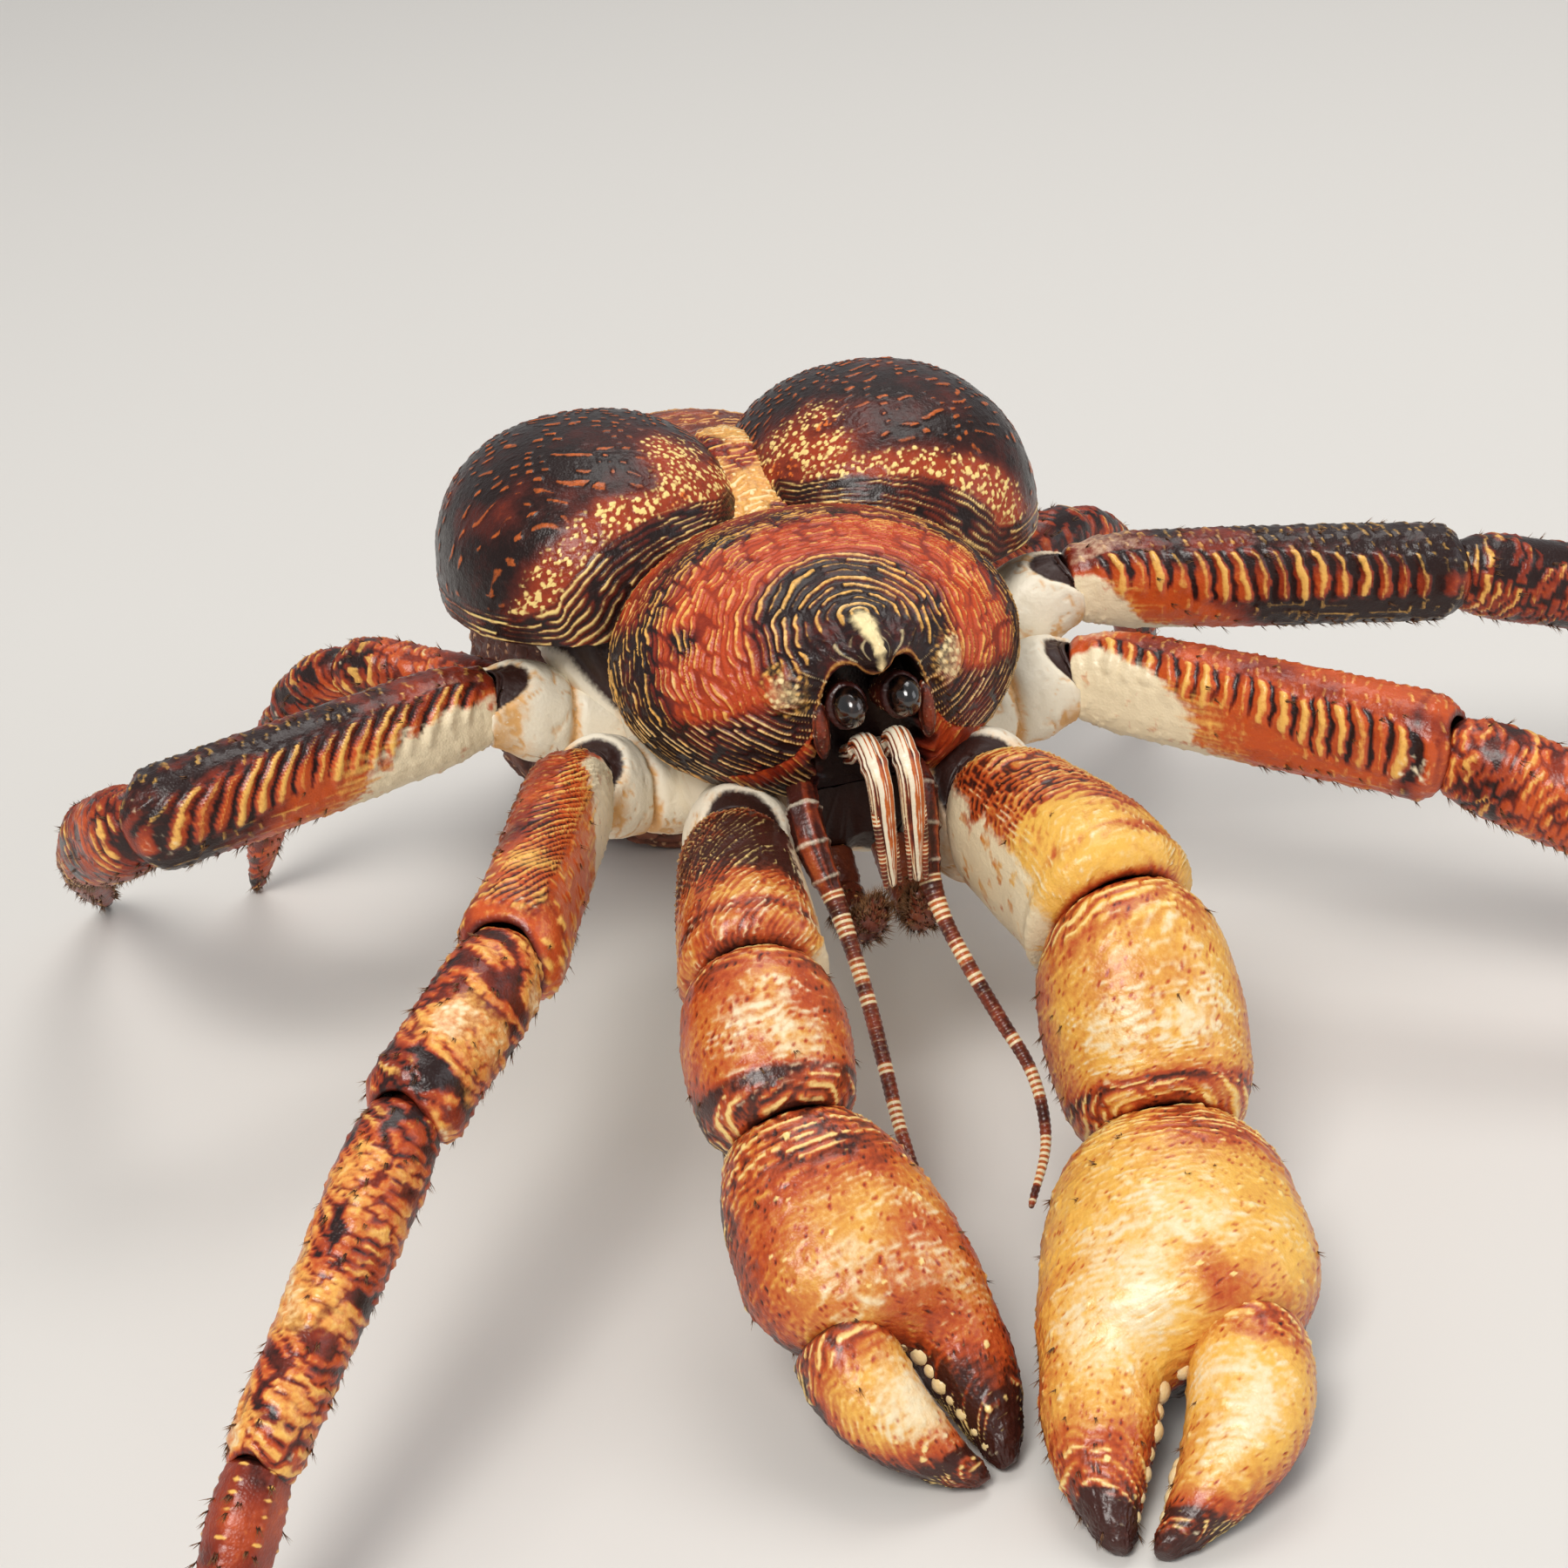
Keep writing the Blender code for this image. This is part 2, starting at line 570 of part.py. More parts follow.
def limb_rings(limb, first, last, girths, count, power=2.2):
    """Rings of one limb part between two of its joints, held clear of the next parts."""
    joints = limb.joints()
    marks = np.concatenate([[0.0], np.cumsum(limb.lengths)])
    table = np.array(girths, dtype=float)
    places = marks[first] + table[:, 0] * (marks[last] - marks[first])
    points, directions = limb_path(joints, limb.bends, places)
    offsets = table[:, 3] if table.shape[1] > 3 else np.zeros(len(table))
    across, rise = oval(count, power)
    rings = []
    for row, (point, head) in enumerate(zip(points, directions)):
        side = unit(np.cross(head, UP))
        top = np.cross(side, head)
        inward = GAP / 2 * ((table[row, 0] == 0.0) * 1.0 - (table[row, 0] == 1.0) * 1.0)
        centre = point + head * inward + side * (limb.side * limb.girth * offsets[row])
        ring = (centre + np.outer(across * table[row, 1] * limb.girth, side)
                + np.outer(rise * table[row, 2] * limb.girth, top))
        ring[:, 2] = np.maximum(ring[:, 2], 0.0)
        rings.append(ring)
    return rings


def build_claw_limb(root, limb, neighbours):
    """Claw limb: four parts in line and the moving finger beside the fixed one."""
    parts = {}
    for index, part in enumerate(CLAW_PARTS):
        last = 5 if part == "hand" else index + 1
        rings = limb_rings(limb, index, last, CLAW_GIRTHS[index], 12)
        finish = "ivory_skin" if part == "base" else "claw_shell"
        parts[part] = add_solid(f"{limb.name}_{part}", rings, finish, root)
    finger_rings = limb_rings(limb, 3, 5, FINGER_GIRTH, 12)
    finger = add_solid(f"{limb.name}_finger", finger_rings, "claw_shell", root)
    carve(parts["base"], neighbours)
    carve(parts["merus"], neighbours)
    carve(finger, [parts["hand"]])
    return [parts["base"], parts["merus"]]


def build_leg(root, limb, part_names, girth_table, neighbours):
    """Leg of parts in line; the base and the next part are cut by what they meet."""
    items = []
    for index, part in enumerate(part_names):
        rings = limb_rings(limb, index, index + 1, girth_table[index], 10)
        finish = "ivory_skin" if part == "base" else "leg_shell"
        items.append(add_solid(f"{limb.name}_{part}", rings, finish, root))
    for item in items[:2]:
        carve(item, neighbours)
    return items[:2]


def tube_rings(path, radii, side, count, spread=1.0):
    """Rings along a path of points; the spread widens them across the body."""
    points = np.array(path) * (side, 1.0, 1.0)
    heads = np.gradient(points, axis=0)
    across, rise = oval(count)
    rings = []
    for point, head, radius in zip(points, heads, radii):
        head = unit(head)
        side_way = unit(np.cross(head, UP) + (0.001, 0.0, 0.0))
        top = np.cross(side_way, head)
        rings.append(point + np.outer(across * radius * spread, side_way)
                     + np.outer(rise * radius, top))
    return rings


def build_face(root, shield, trunk, claw_bases):
    """Eyes on stalks, small feelers, long feelers and mouthparts of both sides."""
    for side, name in ((1, "left"), (-1, "right")):
        stalk_rings = tube_rings(EYESTALK_PATH, EYESTALK_RADII, side, 10, 0.85)
        stalk = add_solid(f"eyestalk_{name}", stalk_rings, "eyestalk_shell", root)
        eye_rings = []
        for angle in np.radians([10, 38, 66, 94, 122, 150, 170]):
            ring = trunk_ring(
                EYE_CENTRE[1] - EYE_RADII[1] * math.cos(angle),
                EYE_RADII[0] * math.sin(angle), EYE_CENTRE[2] + EYE_RADII[2] * math.sin(angle),
                EYE_CENTRE[2] - EYE_RADII[2] * math.sin(angle), 10)
            ring[:, 0] += side * EYE_CENTRE[0]
            eye_rings.append(ring)
        eye = add_solid(f"eye_{name}", eye_rings, "eye_cornea", root)
        carve(eye, [stalk])
        antennule_rings = tube_rings(ANTENNULE_PATH, ANTENNULE_RADII, side, 8)
        add_solid(f"antennule_{name}", antennule_rings, "feeler", root)
        path = ANTENNA_LEFT_PATH if side > 0 else ANTENNA_RIGHT_PATH
        antenna = add_solid(
            f"antenna_{name}", tube_rings(path, ANTENNA_RADII, side, 6), "feeler", root)
        carve(antenna, [shield, trunk, *claw_bases])
        maxilliped = add_solid(
            f"maxilliped_{name}", tube_rings(MAXILLIPED_PATH, MAXILLIPED_RADII, side, 8),
            "mouthpart", root)
        carve(maxilliped, [trunk, *claw_bases])


def stand_on_origin(root):
    """Move the parent empty so that the origin is at the bottom centre of the box."""
    corners = np.array([
        item.matrix_world @ Vector(corner)
        for item in bpy.data.objects if item.type == "MESH" and not item.hide_render
        for corner in item.bound_box])
    low = corners.min(axis=0)
    high = corners.max(axis=0)
    root.location = (-(low[0] + high[0]) / 2, -(low[1] + high[1]) / 2, -low[2])


def main():
    """Build the crab part by part."""
    clear_scene()
    root = bpy.data.objects.new("crab", None)
    bpy.context.collection.objects.link(root)
    shield = build_shield(root)
    cardiac = build_cardiac(root, shield)
    lobes = [
        build_lobe(root, "branchial_left", 1, shield, cardiac),
        build_lobe(root, "branchial_right", -1, shield, cardiac),
    ]
    shell = [shield, cardiac, *lobes]
    trunk = build_trunk(root, shell)
    claw_parts = []
    for limb in CLAWS:
        claw_parts += build_claw_limb(root, limb, [shield, trunk])
    for limb in WALKERS:
        build_leg(root, limb, WALKING_PARTS, WALKING_GIRTHS, [*lobes, trunk])
    for limb in SMALL_LEGS:
        build_leg(root, limb, SMALL_PARTS, SMALL_LEG_GIRTHS, [*lobes, trunk])
    abdomen = build_abdomen(root, [*lobes, cardiac])
    build_tergites(root)
    build_tail_fan(root, abdomen)
    build_face(root, shield, trunk, claw_parts)
    bpy.context.view_layer.update()
    stand_on_origin(root)


main()
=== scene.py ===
"""Looks of a life-size coconut crab that stands with its claws lowered.

Every part is a surface worked out on a grid with numpy, in millimetres and in the body's
own frame: the crab faces -Y, its own left is +X and +Z is up. The tables that shape the
solids are repeated here and read along smooth curves. Ridges, grains and teeth are real
relief, and each point keeps how much of a crest it is, how pale and how bright, which
the materials read.
"""

import logging
import math
from dataclasses import dataclass, field
from enum import Enum
from functools import cache, reduce

import bpy
import numpy as np
from mathutils import Matrix, Vector


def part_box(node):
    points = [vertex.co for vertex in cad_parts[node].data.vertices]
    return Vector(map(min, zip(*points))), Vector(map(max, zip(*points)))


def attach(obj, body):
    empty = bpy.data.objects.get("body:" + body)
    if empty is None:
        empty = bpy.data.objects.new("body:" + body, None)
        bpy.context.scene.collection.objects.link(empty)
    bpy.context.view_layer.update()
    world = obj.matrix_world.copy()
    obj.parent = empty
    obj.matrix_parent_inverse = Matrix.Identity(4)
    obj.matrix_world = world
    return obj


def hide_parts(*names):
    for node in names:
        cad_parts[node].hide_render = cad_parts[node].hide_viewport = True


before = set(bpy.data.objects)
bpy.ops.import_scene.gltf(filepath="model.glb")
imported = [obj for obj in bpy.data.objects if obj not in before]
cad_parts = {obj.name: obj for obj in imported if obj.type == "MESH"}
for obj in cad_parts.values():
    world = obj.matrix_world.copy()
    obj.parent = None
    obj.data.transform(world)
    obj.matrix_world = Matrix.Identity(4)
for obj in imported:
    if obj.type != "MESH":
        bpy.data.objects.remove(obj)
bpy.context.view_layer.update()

Array = np.ndarray
Colour = tuple[float, float, float]

LOG = logging.getLogger("crab")
MM = 0.001
TURN = 2 * math.pi
BODY = "root"
UP = np.array([0.0, 0.0, 1.0])
CREST, PALE, TONE = MARKS = ("crest", "pale", "tone")
SHIELD_TIP_Y = -77.5


class Side(Enum):
    """Side of the body, as the sign of its X."""

    LEFT = 1
    RIGHT = -1

    @property
    def word(self) -> str:
        """The side's name in the names of the parts."""
        return self.name.lower()

    def place(self, points: Array | tuple) -> Array:
        """Points given for the left side, on this side."""
        return np.array(points) * (self.value, 1.0, 1.0)


def unit(vectors: Array) -> Array:
    """Vectors at length one, along the last axis."""
    return vectors / np.maximum(np.linalg.norm(vectors, axis=-1, keepdims=True), 1e-9)


def split(values: Array) -> Array:
    """Columns of the last axis, such as X, Y and Z."""
    return np.moveaxis(values, -1, 0)


def most(*values: Array | float) -> Array:
    """Largest of several numbers at each point."""
    return reduce(np.maximum, values)


def bell(values: Array, middle: float, width: float) -> Array:
    """Bell curve: e to the minus square of the distance from the middle in widths."""
    return np.exp(-(((values - middle) / width) ** 2))


def ramp(low: float, high: float, values: Array) -> Array:
    """Rise from 0 at low to 1 at high along 3t^2 - 2t^3; low may be above high."""
    share = np.clip((values - low) / (high - low), 0.0, 1.0)
    return share * share * (3.0 - 2.0 * share)


def round_angles(count: int, start: float = 0.0) -> Array:
    """Angles of a number of points round a ring."""
    return start + np.arange(count) * TURN / count


def oval(angles: Array, power: float) -> list[Array]:
    """Across and up values of a unit superellipse: signed cosines and sines to 2/power."""
    return [np.sign(wave) * np.abs(wave) ** (2 / power) for wave in (np.cos(angles), np.sin(angles))]


def along_table(table: tuple, shares: Array) -> Array:
    """Values of a table at places in its first column, along a cubic through its rows.

    Args:
        table: Rows whose first number rises; the others are the values.
        shares: Places to read, of any shape.

    Returns:
        The values, with one more axis than the shares.
    """
    rows = np.array(table, dtype=float)
    knots = rows[:, 0]
    slopes = np.gradient(rows[:, 1:], knots, axis=0)
    place = np.clip(np.searchsorted(knots, shares, side="right") - 1, 0, len(knots) - 2)
    span = (knots[place + 1] - knots[place])[..., None]
    step = (shares - knots[place])[..., None] / span
    low = rows[place, 1:]
    rise = rows[place + 1, 1:] - low
    start = slopes[place] * span
    end = slopes[place + 1] * span
    return low + step * (start + step * (3 * rise - 2 * start - end + step * (start + end - 2 * rise)))


def stations(table: tuple, rows: int) -> Array:
    """Evenly spaced places from a table's first to its last, and its values there, as columns."""
    places = np.linspace(table[0][0], table[-1][0], rows)[:, None]
    return np.stack([places, *split(along_table(table, places))])


def hashed(seed: int, x: Array, y: Array | int = 0, z: Array | int = 0) -> Array:
    """Number that looks random for whole coordinates: sums of products, mixed by shifts.

    Args:
        seed: Picks another set of numbers.
        x: First whole coordinate.
        y: Second whole coordinate.
        z: Third whole coordinate.

    Returns:
        Numbers from 0 to 1.
    """
    mask = 0xFFFFFFFF
    mixed = (x * 374761393 + y * 668265263 + z * 1440662683 + seed * 69069) & mask
    mixed = ((mixed ^ (mixed >> 13)) * 1274126177) & mask
    mixed = ((mixed ^ (mixed >> 15)) * 461845907) & mask
    return ((mixed ^ (mixed >> 16)) & 0xFFFFFF) / 0xFFFFFF


def chance_at(grid: Array, seed: int) -> Array:
    """Hashed number of each point of a grid."""
    return hashed(seed, *np.indices(grid.shape[:2]))


def noise(points: Array, size: float, seed: int, layers: int = 1) -> Array:
    """Sum of value noises, each half the size and strength of the one before.

    A value noise blends hashed numbers at the corners of cells by smooth shares.

    Args:
        points: Points with three coordinates on the last axis.
        size: Side of the first noise's cells.
        seed: Picks another noise.
        layers: How many noises.

    Returns:
        Numbers from 0 to 1, one per point.
    """
    total = np.zeros(points.shape[:-1])
    for layer in range(layers):
        place = points / (size / 2**layer)
        corner = np.floor(place).astype(np.int64)
        share = ramp(0.0, 1.0, place - corner)
        own = np.zeros(total.shape)
        for step in np.ndindex(2, 2, 2):
            weight = np.prod(np.where(step, share, 1.0 - share), axis=-1)
            own += weight * hashed(seed + layer, *split(corner + np.array(step)))
        total += own / 2**layer
    return total / (2.0 - 2.0 ** (1 - layers))


def waves(points: Array, size: float, seed: int, layers: int, height: float) -> Array:
    """Noise about zero, with a height from its lowest to its highest."""
    return (noise(points, size, seed, layers) - 0.5) * height


def creases(points: Array, size: float, seed: int, layers: int, low: float) -> Array:
    """Thin winding lines where noise passes its middle, 1 on them and 0 from a low share on."""
    return ramp(low, 1.0, 1.0 - np.abs(2.0 * noise(points, size, seed, layers) - 1.0))


def pebbles(points: Array, size: float, seed: int) -> tuple[Array, Array]:
    """Distance to the nearest of centres that are jittered one in each cell.

    Args:
        points: Points with three coordinates on the last axis.
        size: Side of a cell.
        seed: Picks another set of centres.

    Returns:
        The distance as a share of the size, and the nearest centre's own number.
    """
    place = points / size
    corner = np.floor(place).astype(np.int64)
    nearest = np.full(points.shape[:-1], 9.0)
    number = np.zeros(points.shape[:-1])
    for step in np.ndindex(3, 3, 3):
        at = corner + np.array(step) - 1
        jitter = [hashed(seed + extra, *split(at)) for extra in (11, 23, 37)]
        gap = np.linalg.norm(at + np.stack(jitter, axis=-1) - place, axis=-1)
        closer = gap < nearest
        nearest = np.where(closer, gap, nearest)
        number = np.where(closer, hashed(seed + 51, *split(at)), number)
    return nearest, number


def granules(points: Array, size: float, spread: float = 0.42, seed: int = 0) -> Array:
    """Round grains of several heights: a dome round each centre of a pebble field."""
    gap, number = pebbles(points, size, seed)
    return np.clip(1.0 - (gap / spread) ** 2, 0.0, 1.0) * (0.35 + 0.65 * number)


def pits(points: Array, size: float, seed: int) -> Array:
    """Small hollows: 1 in the middle of each and 0 between them."""
    gap, number = pebbles(points, size, seed)
    return np.clip(1.0 - (gap / 0.34) ** 2, 0.0, 1.0) * (number > 0.3)


def ridges(across: Array, along: Array, pitch: float, length: float, fill: float,
           keep: Array | float = 1.0, steep: float = 0.72, seed: int = 0) -> Array:
    """Rows of dashes that rise slowly across the row and fall steeply.

    Each row is the whole part of across over pitch, each dash the whole part of along
    over length, moved by the row's hashed number. A dash fills its share of that
    length, and its own hashed number makes it tall or low, or leaves it out.

    Args:
        across: Distance that counts the rows, in mm.
        along: Distance along the rows, in mm.
        pitch: Distance between rows, in mm.
        length: Length of a dash with its gap, in mm.
        fill: Share of that length that the dash fills.
        keep: Share of the dashes that are there, which may change over the surface.
        steep: Share of the row's width that rises.
        seed: Picks other dashes.

    Returns:
        Numbers from 0 in the valleys to 1 on the tallest crests.
    """
    row_place = across / pitch
    row = np.floor(row_place).astype(np.int64)
    rise = row_place - row
    cell_place = along / length + hashed(seed, row)
    cell = np.floor(cell_place).astype(np.int64)
    own = hashed(seed + 5, row, cell)
    wide = fill / 2 * (0.75 + 0.5 * own)
    body = ramp(1.0, 0.0, (np.abs(cell_place - cell - 0.5) - wide + 0.12) / 0.14)
    saw = np.clip(rise / steep, 0, 1) ** 1.5 * ramp(1.0, steep, rise)
    there = ramp(-0.06, 0.06, keep - hashed(seed + 9, row, cell))
    return saw * body * there * (0.5 + 0.5 * own)


def normals_of(grid: Array) -> Array:
    """Unit normals of a grid that closes round: its two directions' cross product.

    Args:
        grid: Rows of rings of points.

    Returns:
        Vectors that point outwards.
    """
    around = np.roll(grid, -1, axis=1) - np.roll(grid, 1, axis=1)
    normals = unit(np.cross(np.gradient(grid, axis=0), around))
    outward = grid - grid.mean(axis=1, keepdims=True)
    return -normals if (normals * outward).sum() < 0 else normals


def raised(grid: Array, height: Array) -> Array:
    """The grid moved along its normals by the height."""
    return grid + normals_of(grid) * height[..., None]


def above_floor(grid: Array) -> Array:
    """The grid with no point below the floor."""
    return np.maximum(grid, (-np.inf, -np.inf, 0.0))


def arc(grid: Array, axis: int) -> Array:
    """Length in mm from the first point, down each column on axis 0 or round each ring on 1."""
    steps = np.cumsum(np.linalg.norm(np.diff(grid, axis=axis), axis=2), axis=axis)
    return np.insert(steps, 0, 0.0, axis=axis)


@dataclass(frozen=True)
class BodyPlace:
    """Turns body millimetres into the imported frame's metres."""

    shift: Array

    @classmethod
    def from_frame(cls) -> "BodyPlace":
        """Read the shift from the shield's box: its middle is X 0, its tip a known Y."""
        low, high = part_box("shield")
        return cls(np.array([(low.x + high.x) / 2 / MM, low.y / MM - SHIELD_TIP_Y, 0.0]))

    def world(self, points: Array) -> Array:
        """Points in the frame, in metres."""
        return (points + self.shift) * MM


PLACE = BodyPlace.from_frame()


class Wire:
    """A socket of a shader with the sums, products and steps of plain numbers."""

    def __init__(self, graph: "Graph", socket: bpy.types.NodeSocket) -> None:
        """Keep the socket and the graph that adds its nodes."""
        self.graph = graph
        self.socket = socket

    def _math(self, operation: str, *values: "Wire | float") -> "Wire":
        """A Math node on the values."""
        return self.graph.node("Math", {"operation": operation}, dict(enumerate(values)))

    def __add__(self, other: "Wire | float") -> "Wire":
        """Sum."""
        return self._math("ADD", self, other)

    def __sub__(self, other: "Wire | float") -> "Wire":
        """Difference."""
        return self._math("SUBTRACT", self, other)

    def __rsub__(self, other: float) -> "Wire":
        """A number less this."""
        return self._math("SUBTRACT", other, self)

    def __mul__(self, other: "Wire | float") -> "Wire":
        """Product."""
        return self._math("MULTIPLY", self, other)

    __radd__ = __add__
    __rmul__ = __mul__

    def step(self, low: float, high: float) -> "Wire":
        """Smooth rise from 0 at low to 1 at high."""
        inputs = {"Value": self, "From Min": low, "From Max": high}
        return self.graph.node("MapRange", {"interpolation_type": "SMOOTHSTEP"}, inputs)


class Graph:
    """Node tree of one material."""

    def __init__(self, name: str) -> None:
        """Make the material with its Principled shader.

        Args:
            name: Name of the material.
        """
        self.material = bpy.data.materials.new(name)
        self.material.use_nodes = True
        self.tree = self.material.node_tree
        self.shader = self.tree.nodes["Principled BSDF"]

    def node(self, kind: str, settings: dict | None = None, inputs: dict | None = None,
             output: int | str = 0) -> Wire:
        """Add a node: its settings first, then the values or links of its sockets.

        Args:
            kind: The node's type without ShaderNode.
            settings: Its own settings by name.
            inputs: Values or wires by the socket's name or number.
            output: Name or number of the socket that is returned.

        Returns:
            The chosen output.
        """
        node = self.tree.nodes.new("ShaderNode" + kind)
        for name, value in (settings or {}).items():
            setattr(node, name, value)
        for key, value in (inputs or {}).items():
            self.feed(node.inputs[key], value)
        return Wire(self, node.outputs[output])

    def feed(self, socket: bpy.types.NodeSocket, value: "Wire | float | tuple") -> None:
        """Link a wire to a socket, or set the socket's own value.

        Args:
            socket: The socket.
            value: A wire, a number, a vector or a colour without its alpha.
        """
        if isinstance(value, Wire):
            self.tree.links.new(value.socket, socket)
        elif isinstance(value, tuple) and len(socket.default_value) == 4:
            socket.default_value = (*value, 1.0)
        else:
            socket.default_value = value

    def mark(self, name: str) -> Wire:
        """A number that the mesh keeps at its points."""
        return self.node("Attribute", {"attribute_name": name}, output="Fac")

    def noise(self, size_mm: float, detail: float = 3.0) -> Wire:
        """Noise on Object coordinates, of a grain size in mm."""
        inputs = {"Vector": self.place(), "Scale": 1.0 / (size_mm * MM), "Detail": detail}
        return self.node("TexNoise", {}, inputs)

    def place(self) -> Wire:
        """Object coordinates, in metres."""
        return self.node("TexCoord", output="Object")

    def cells(self, size_mm: float) -> Wire:
        """Distance to the nearest cell centre, of cells of a size in mm."""
        inputs = {"Vector": self.place(), "Scale": 1.0 / (size_mm * MM)}
        return self.node("TexVoronoi", {}, inputs, "Distance")

    def blend(self, share: "Wire | float", low: "Wire | Colour", high: "Wire | Colour") -> Wire:
        """Colour between two colours."""
        return self.node("Mix", {"data_type": "RGBA"}, {0: share, 6: low, 7: high}, 2)

    def finish(self, colour: Wire, roughness: Wire, bump: Wire, depth_mm: float,
               strength: float, **constants: float) -> bpy.types.Material:
        """Feed the shader.

        Args:
            colour: Base colour.
            roughness: Roughness.
            bump: Height that turns the normals.
            depth_mm: Height of a whole unit of the bump, in mm.
            strength: Strength of the bump.
            **constants: Values of the shader's own sockets, with underscores for spaces.

        Returns:
            The material.
        """
        relief = {"Strength": strength, "Distance": depth_mm * MM, "Height": bump}
        varied = {"Base Color": colour, "Roughness": roughness, "Normal": self.node("Bump", {}, relief)}
        for name, value in {**varied, **constants}.items():
            self.feed(self.shader.inputs[name.replace("_", " ")], value)
        return self.material


@dataclass(frozen=True)
class ShellFinish:
    """Hard waxy shell: a ground in three tones, bright crests and pale places."""

    name: str
    deep: Colour
    dark: Colour
    middle: Colour
    crest: Colour
    pale: Colour
    speck: Colour
    roughness: float = 0.36
    blotch_mm: float = 9.0
    speck_mm: float = 1.1
    coat: float = 0.25
    speck_share: float = 0.35
    specular: float = 0.35

    @cache
    def material(self) -> bpy.types.Material:
        """Ground by tone and blotches, then crests, specks and pale places over it.

        Returns:
            The material.
        """
        graph = Graph(self.name)
        blotch = graph.noise(self.blotch_mm, 4.0)
        fine = graph.noise(self.speck_mm)
        depth = graph.mark(TONE) + (blotch - 0.5) * 0.8 + (fine - 0.5) * 0.3
        tone = depth.step(0.35, 0.95)
        ground = graph.blend(tone, graph.blend(depth.step(0.02, 0.48), self.deep, self.dark), self.middle)
        specks = (fine * 0.6 + blotch * 0.4).step(0.56, 0.68) * self.speck_share
        ground = graph.blend(specks * tone, ground, self.speck)
        crest = (graph.mark(CREST) + (fine - 0.5) * 0.45).step(0.25, 0.8)
        pale = (graph.mark(PALE) + (fine - 0.5) * 0.35 + (blotch - 0.5) * 0.3).step(0.25, 0.75)
        colour = graph.blend(pale, graph.blend(crest, ground, self.crest), self.pale)
        roughness = self.roughness + (fine - 0.5) * 0.35 - crest * 0.05 + (blotch - 0.5) * 0.1
        bump = fine * 0.55 + graph.cells(0.55) * 0.45
        return graph.finish(colour, roughness, bump, 0.28, 0.55, Coat_Weight=self.coat, Coat_Roughness=0.16,
                            IOR=1.52, Specular_IOR_Level=self.specular)


@dataclass(frozen=True)
class SkinFinish:
    """Smooth or wrinkled skin: one colour, a warmer one in its folds, and specks."""

    name: str
    base: Colour
    warm: Colour
    speck: Colour
    crest: Colour
    roughness: float
    blotch_mm: float = 11.0
    wrinkle_mm: float = 0.9
    depth_mm: float = 0.25
    coat: float = 0.15

    @cache
    def material(self) -> bpy.types.Material:
        """Base colour warmed by tone, with faint specks and brighter crests.

        Returns:
            The material.
        """
        graph = Graph(self.name)
        blotch = graph.noise(self.blotch_mm, 4.0)
        fine = graph.noise(self.wrinkle_mm, 4.0)
        warm = (graph.mark(TONE) + (blotch - 0.5) * 0.7 + (fine - 0.5) * 0.3).step(0.2, 0.9)
        ground = graph.blend(warm, self.base, self.warm)
        ground = graph.blend(fine.step(0.62, 0.74) * 0.5, ground, self.speck)
        crest = (graph.mark(CREST) + (fine - 0.5) * 0.4).step(0.3, 0.85)
        roughness = self.roughness + (fine - 0.5) * 0.3 + warm * 0.08
        bump = fine * 0.6 + graph.cells(self.wrinkle_mm * 0.8) * 0.4
        return graph.finish(graph.blend(crest, ground, self.crest), roughness, bump, self.depth_mm, 0.5,
                            Coat_Weight=self.coat, Coat_Roughness=0.25, IOR=1.45)


@dataclass(frozen=True)
class EyeFinish:
    """Glossy dark cornea with fine facets and a faint brown cloud."""

    name: str = "cornea"
    dark: Colour = (0.004, 0.003, 0.003)
    cloud: Colour = (0.06, 0.022, 0.01)
    facet_mm: float = 0.22

    @cache
    def material(self) -> bpy.types.Material:
        """Near-black with fine cells, and clear gloss over it.

        Returns:
            The material.
        """
        graph = Graph(self.name)
        facets = graph.cells(self.facet_mm)
        colour = graph.blend(graph.noise(2.4, 2.0).step(0.45, 0.8), self.dark, self.cloud)
        return graph.finish(colour, 0.12 + facets * 0.10, facets, 0.03, 0.35,
                            Coat_Weight=1.0, Coat_Roughness=0.04, IOR=1.55)


@dataclass(frozen=True)
class BristleFinish:
    """Stiff hair, dark at the root and lighter at the tip."""

    name: str = "bristles"
    root: Colour = (0.05, 0.016, 0.007)
    tip: Colour = (0.42, 0.19, 0.06)

    @cache
    def material(self) -> bpy.types.Material:
        """Colour by the crest mark, which is 0 at a root and 1 at a tip.

        Returns:
            The material.
        """
        graph = Graph(self.name)
        fine = graph.noise(3.0, 2.0)
        share = graph.mark(CREST) * 0.8 + (fine - 0.5) * 0.5
        colour = graph.blend(share.step(0.0, 1.0), self.root, self.tip)
        return graph.finish(colour, 0.42 + (fine - 0.5) * 0.2, fine, 0.02, 0.2, IOR=1.5)


Finish = ShellFinish | SkinFinish | EyeFinish | BristleFinish

LOBE = ShellFinish(
    "lobe shell", deep=(0.014, 0.005, 0.004), dark=(0.085, 0.012, 0.007), middle=(0.36, 0.045, 0.012),
    crest=(0.7, 0.15, 0.024), pale=(0.94, 0.7, 0.25), speck=(0.34, 0.06, 0.018),
    coat=0.16, speck_share=0.25, specular=0.25)
HEAD = ShellFinish(
    "head shell", deep=(0.014, 0.004, 0.004), dark=(0.21, 0.018, 0.007), middle=(0.52, 0.062, 0.013),
    crest=(0.9, 0.48, 0.11), pale=(0.96, 0.78, 0.42), speck=(0.62, 0.16, 0.03),
    roughness=0.38, coat=0.12, specular=0.3)
LEG = ShellFinish(
    "leg shell", deep=(0.018, 0.005, 0.004), dark=(0.25, 0.026, 0.008), middle=(0.6, 0.09, 0.016),
    crest=(0.93, 0.52, 0.12), pale=(0.93, 0.79, 0.54), speck=(0.78, 0.28, 0.05), coat=0.22, specular=0.32)
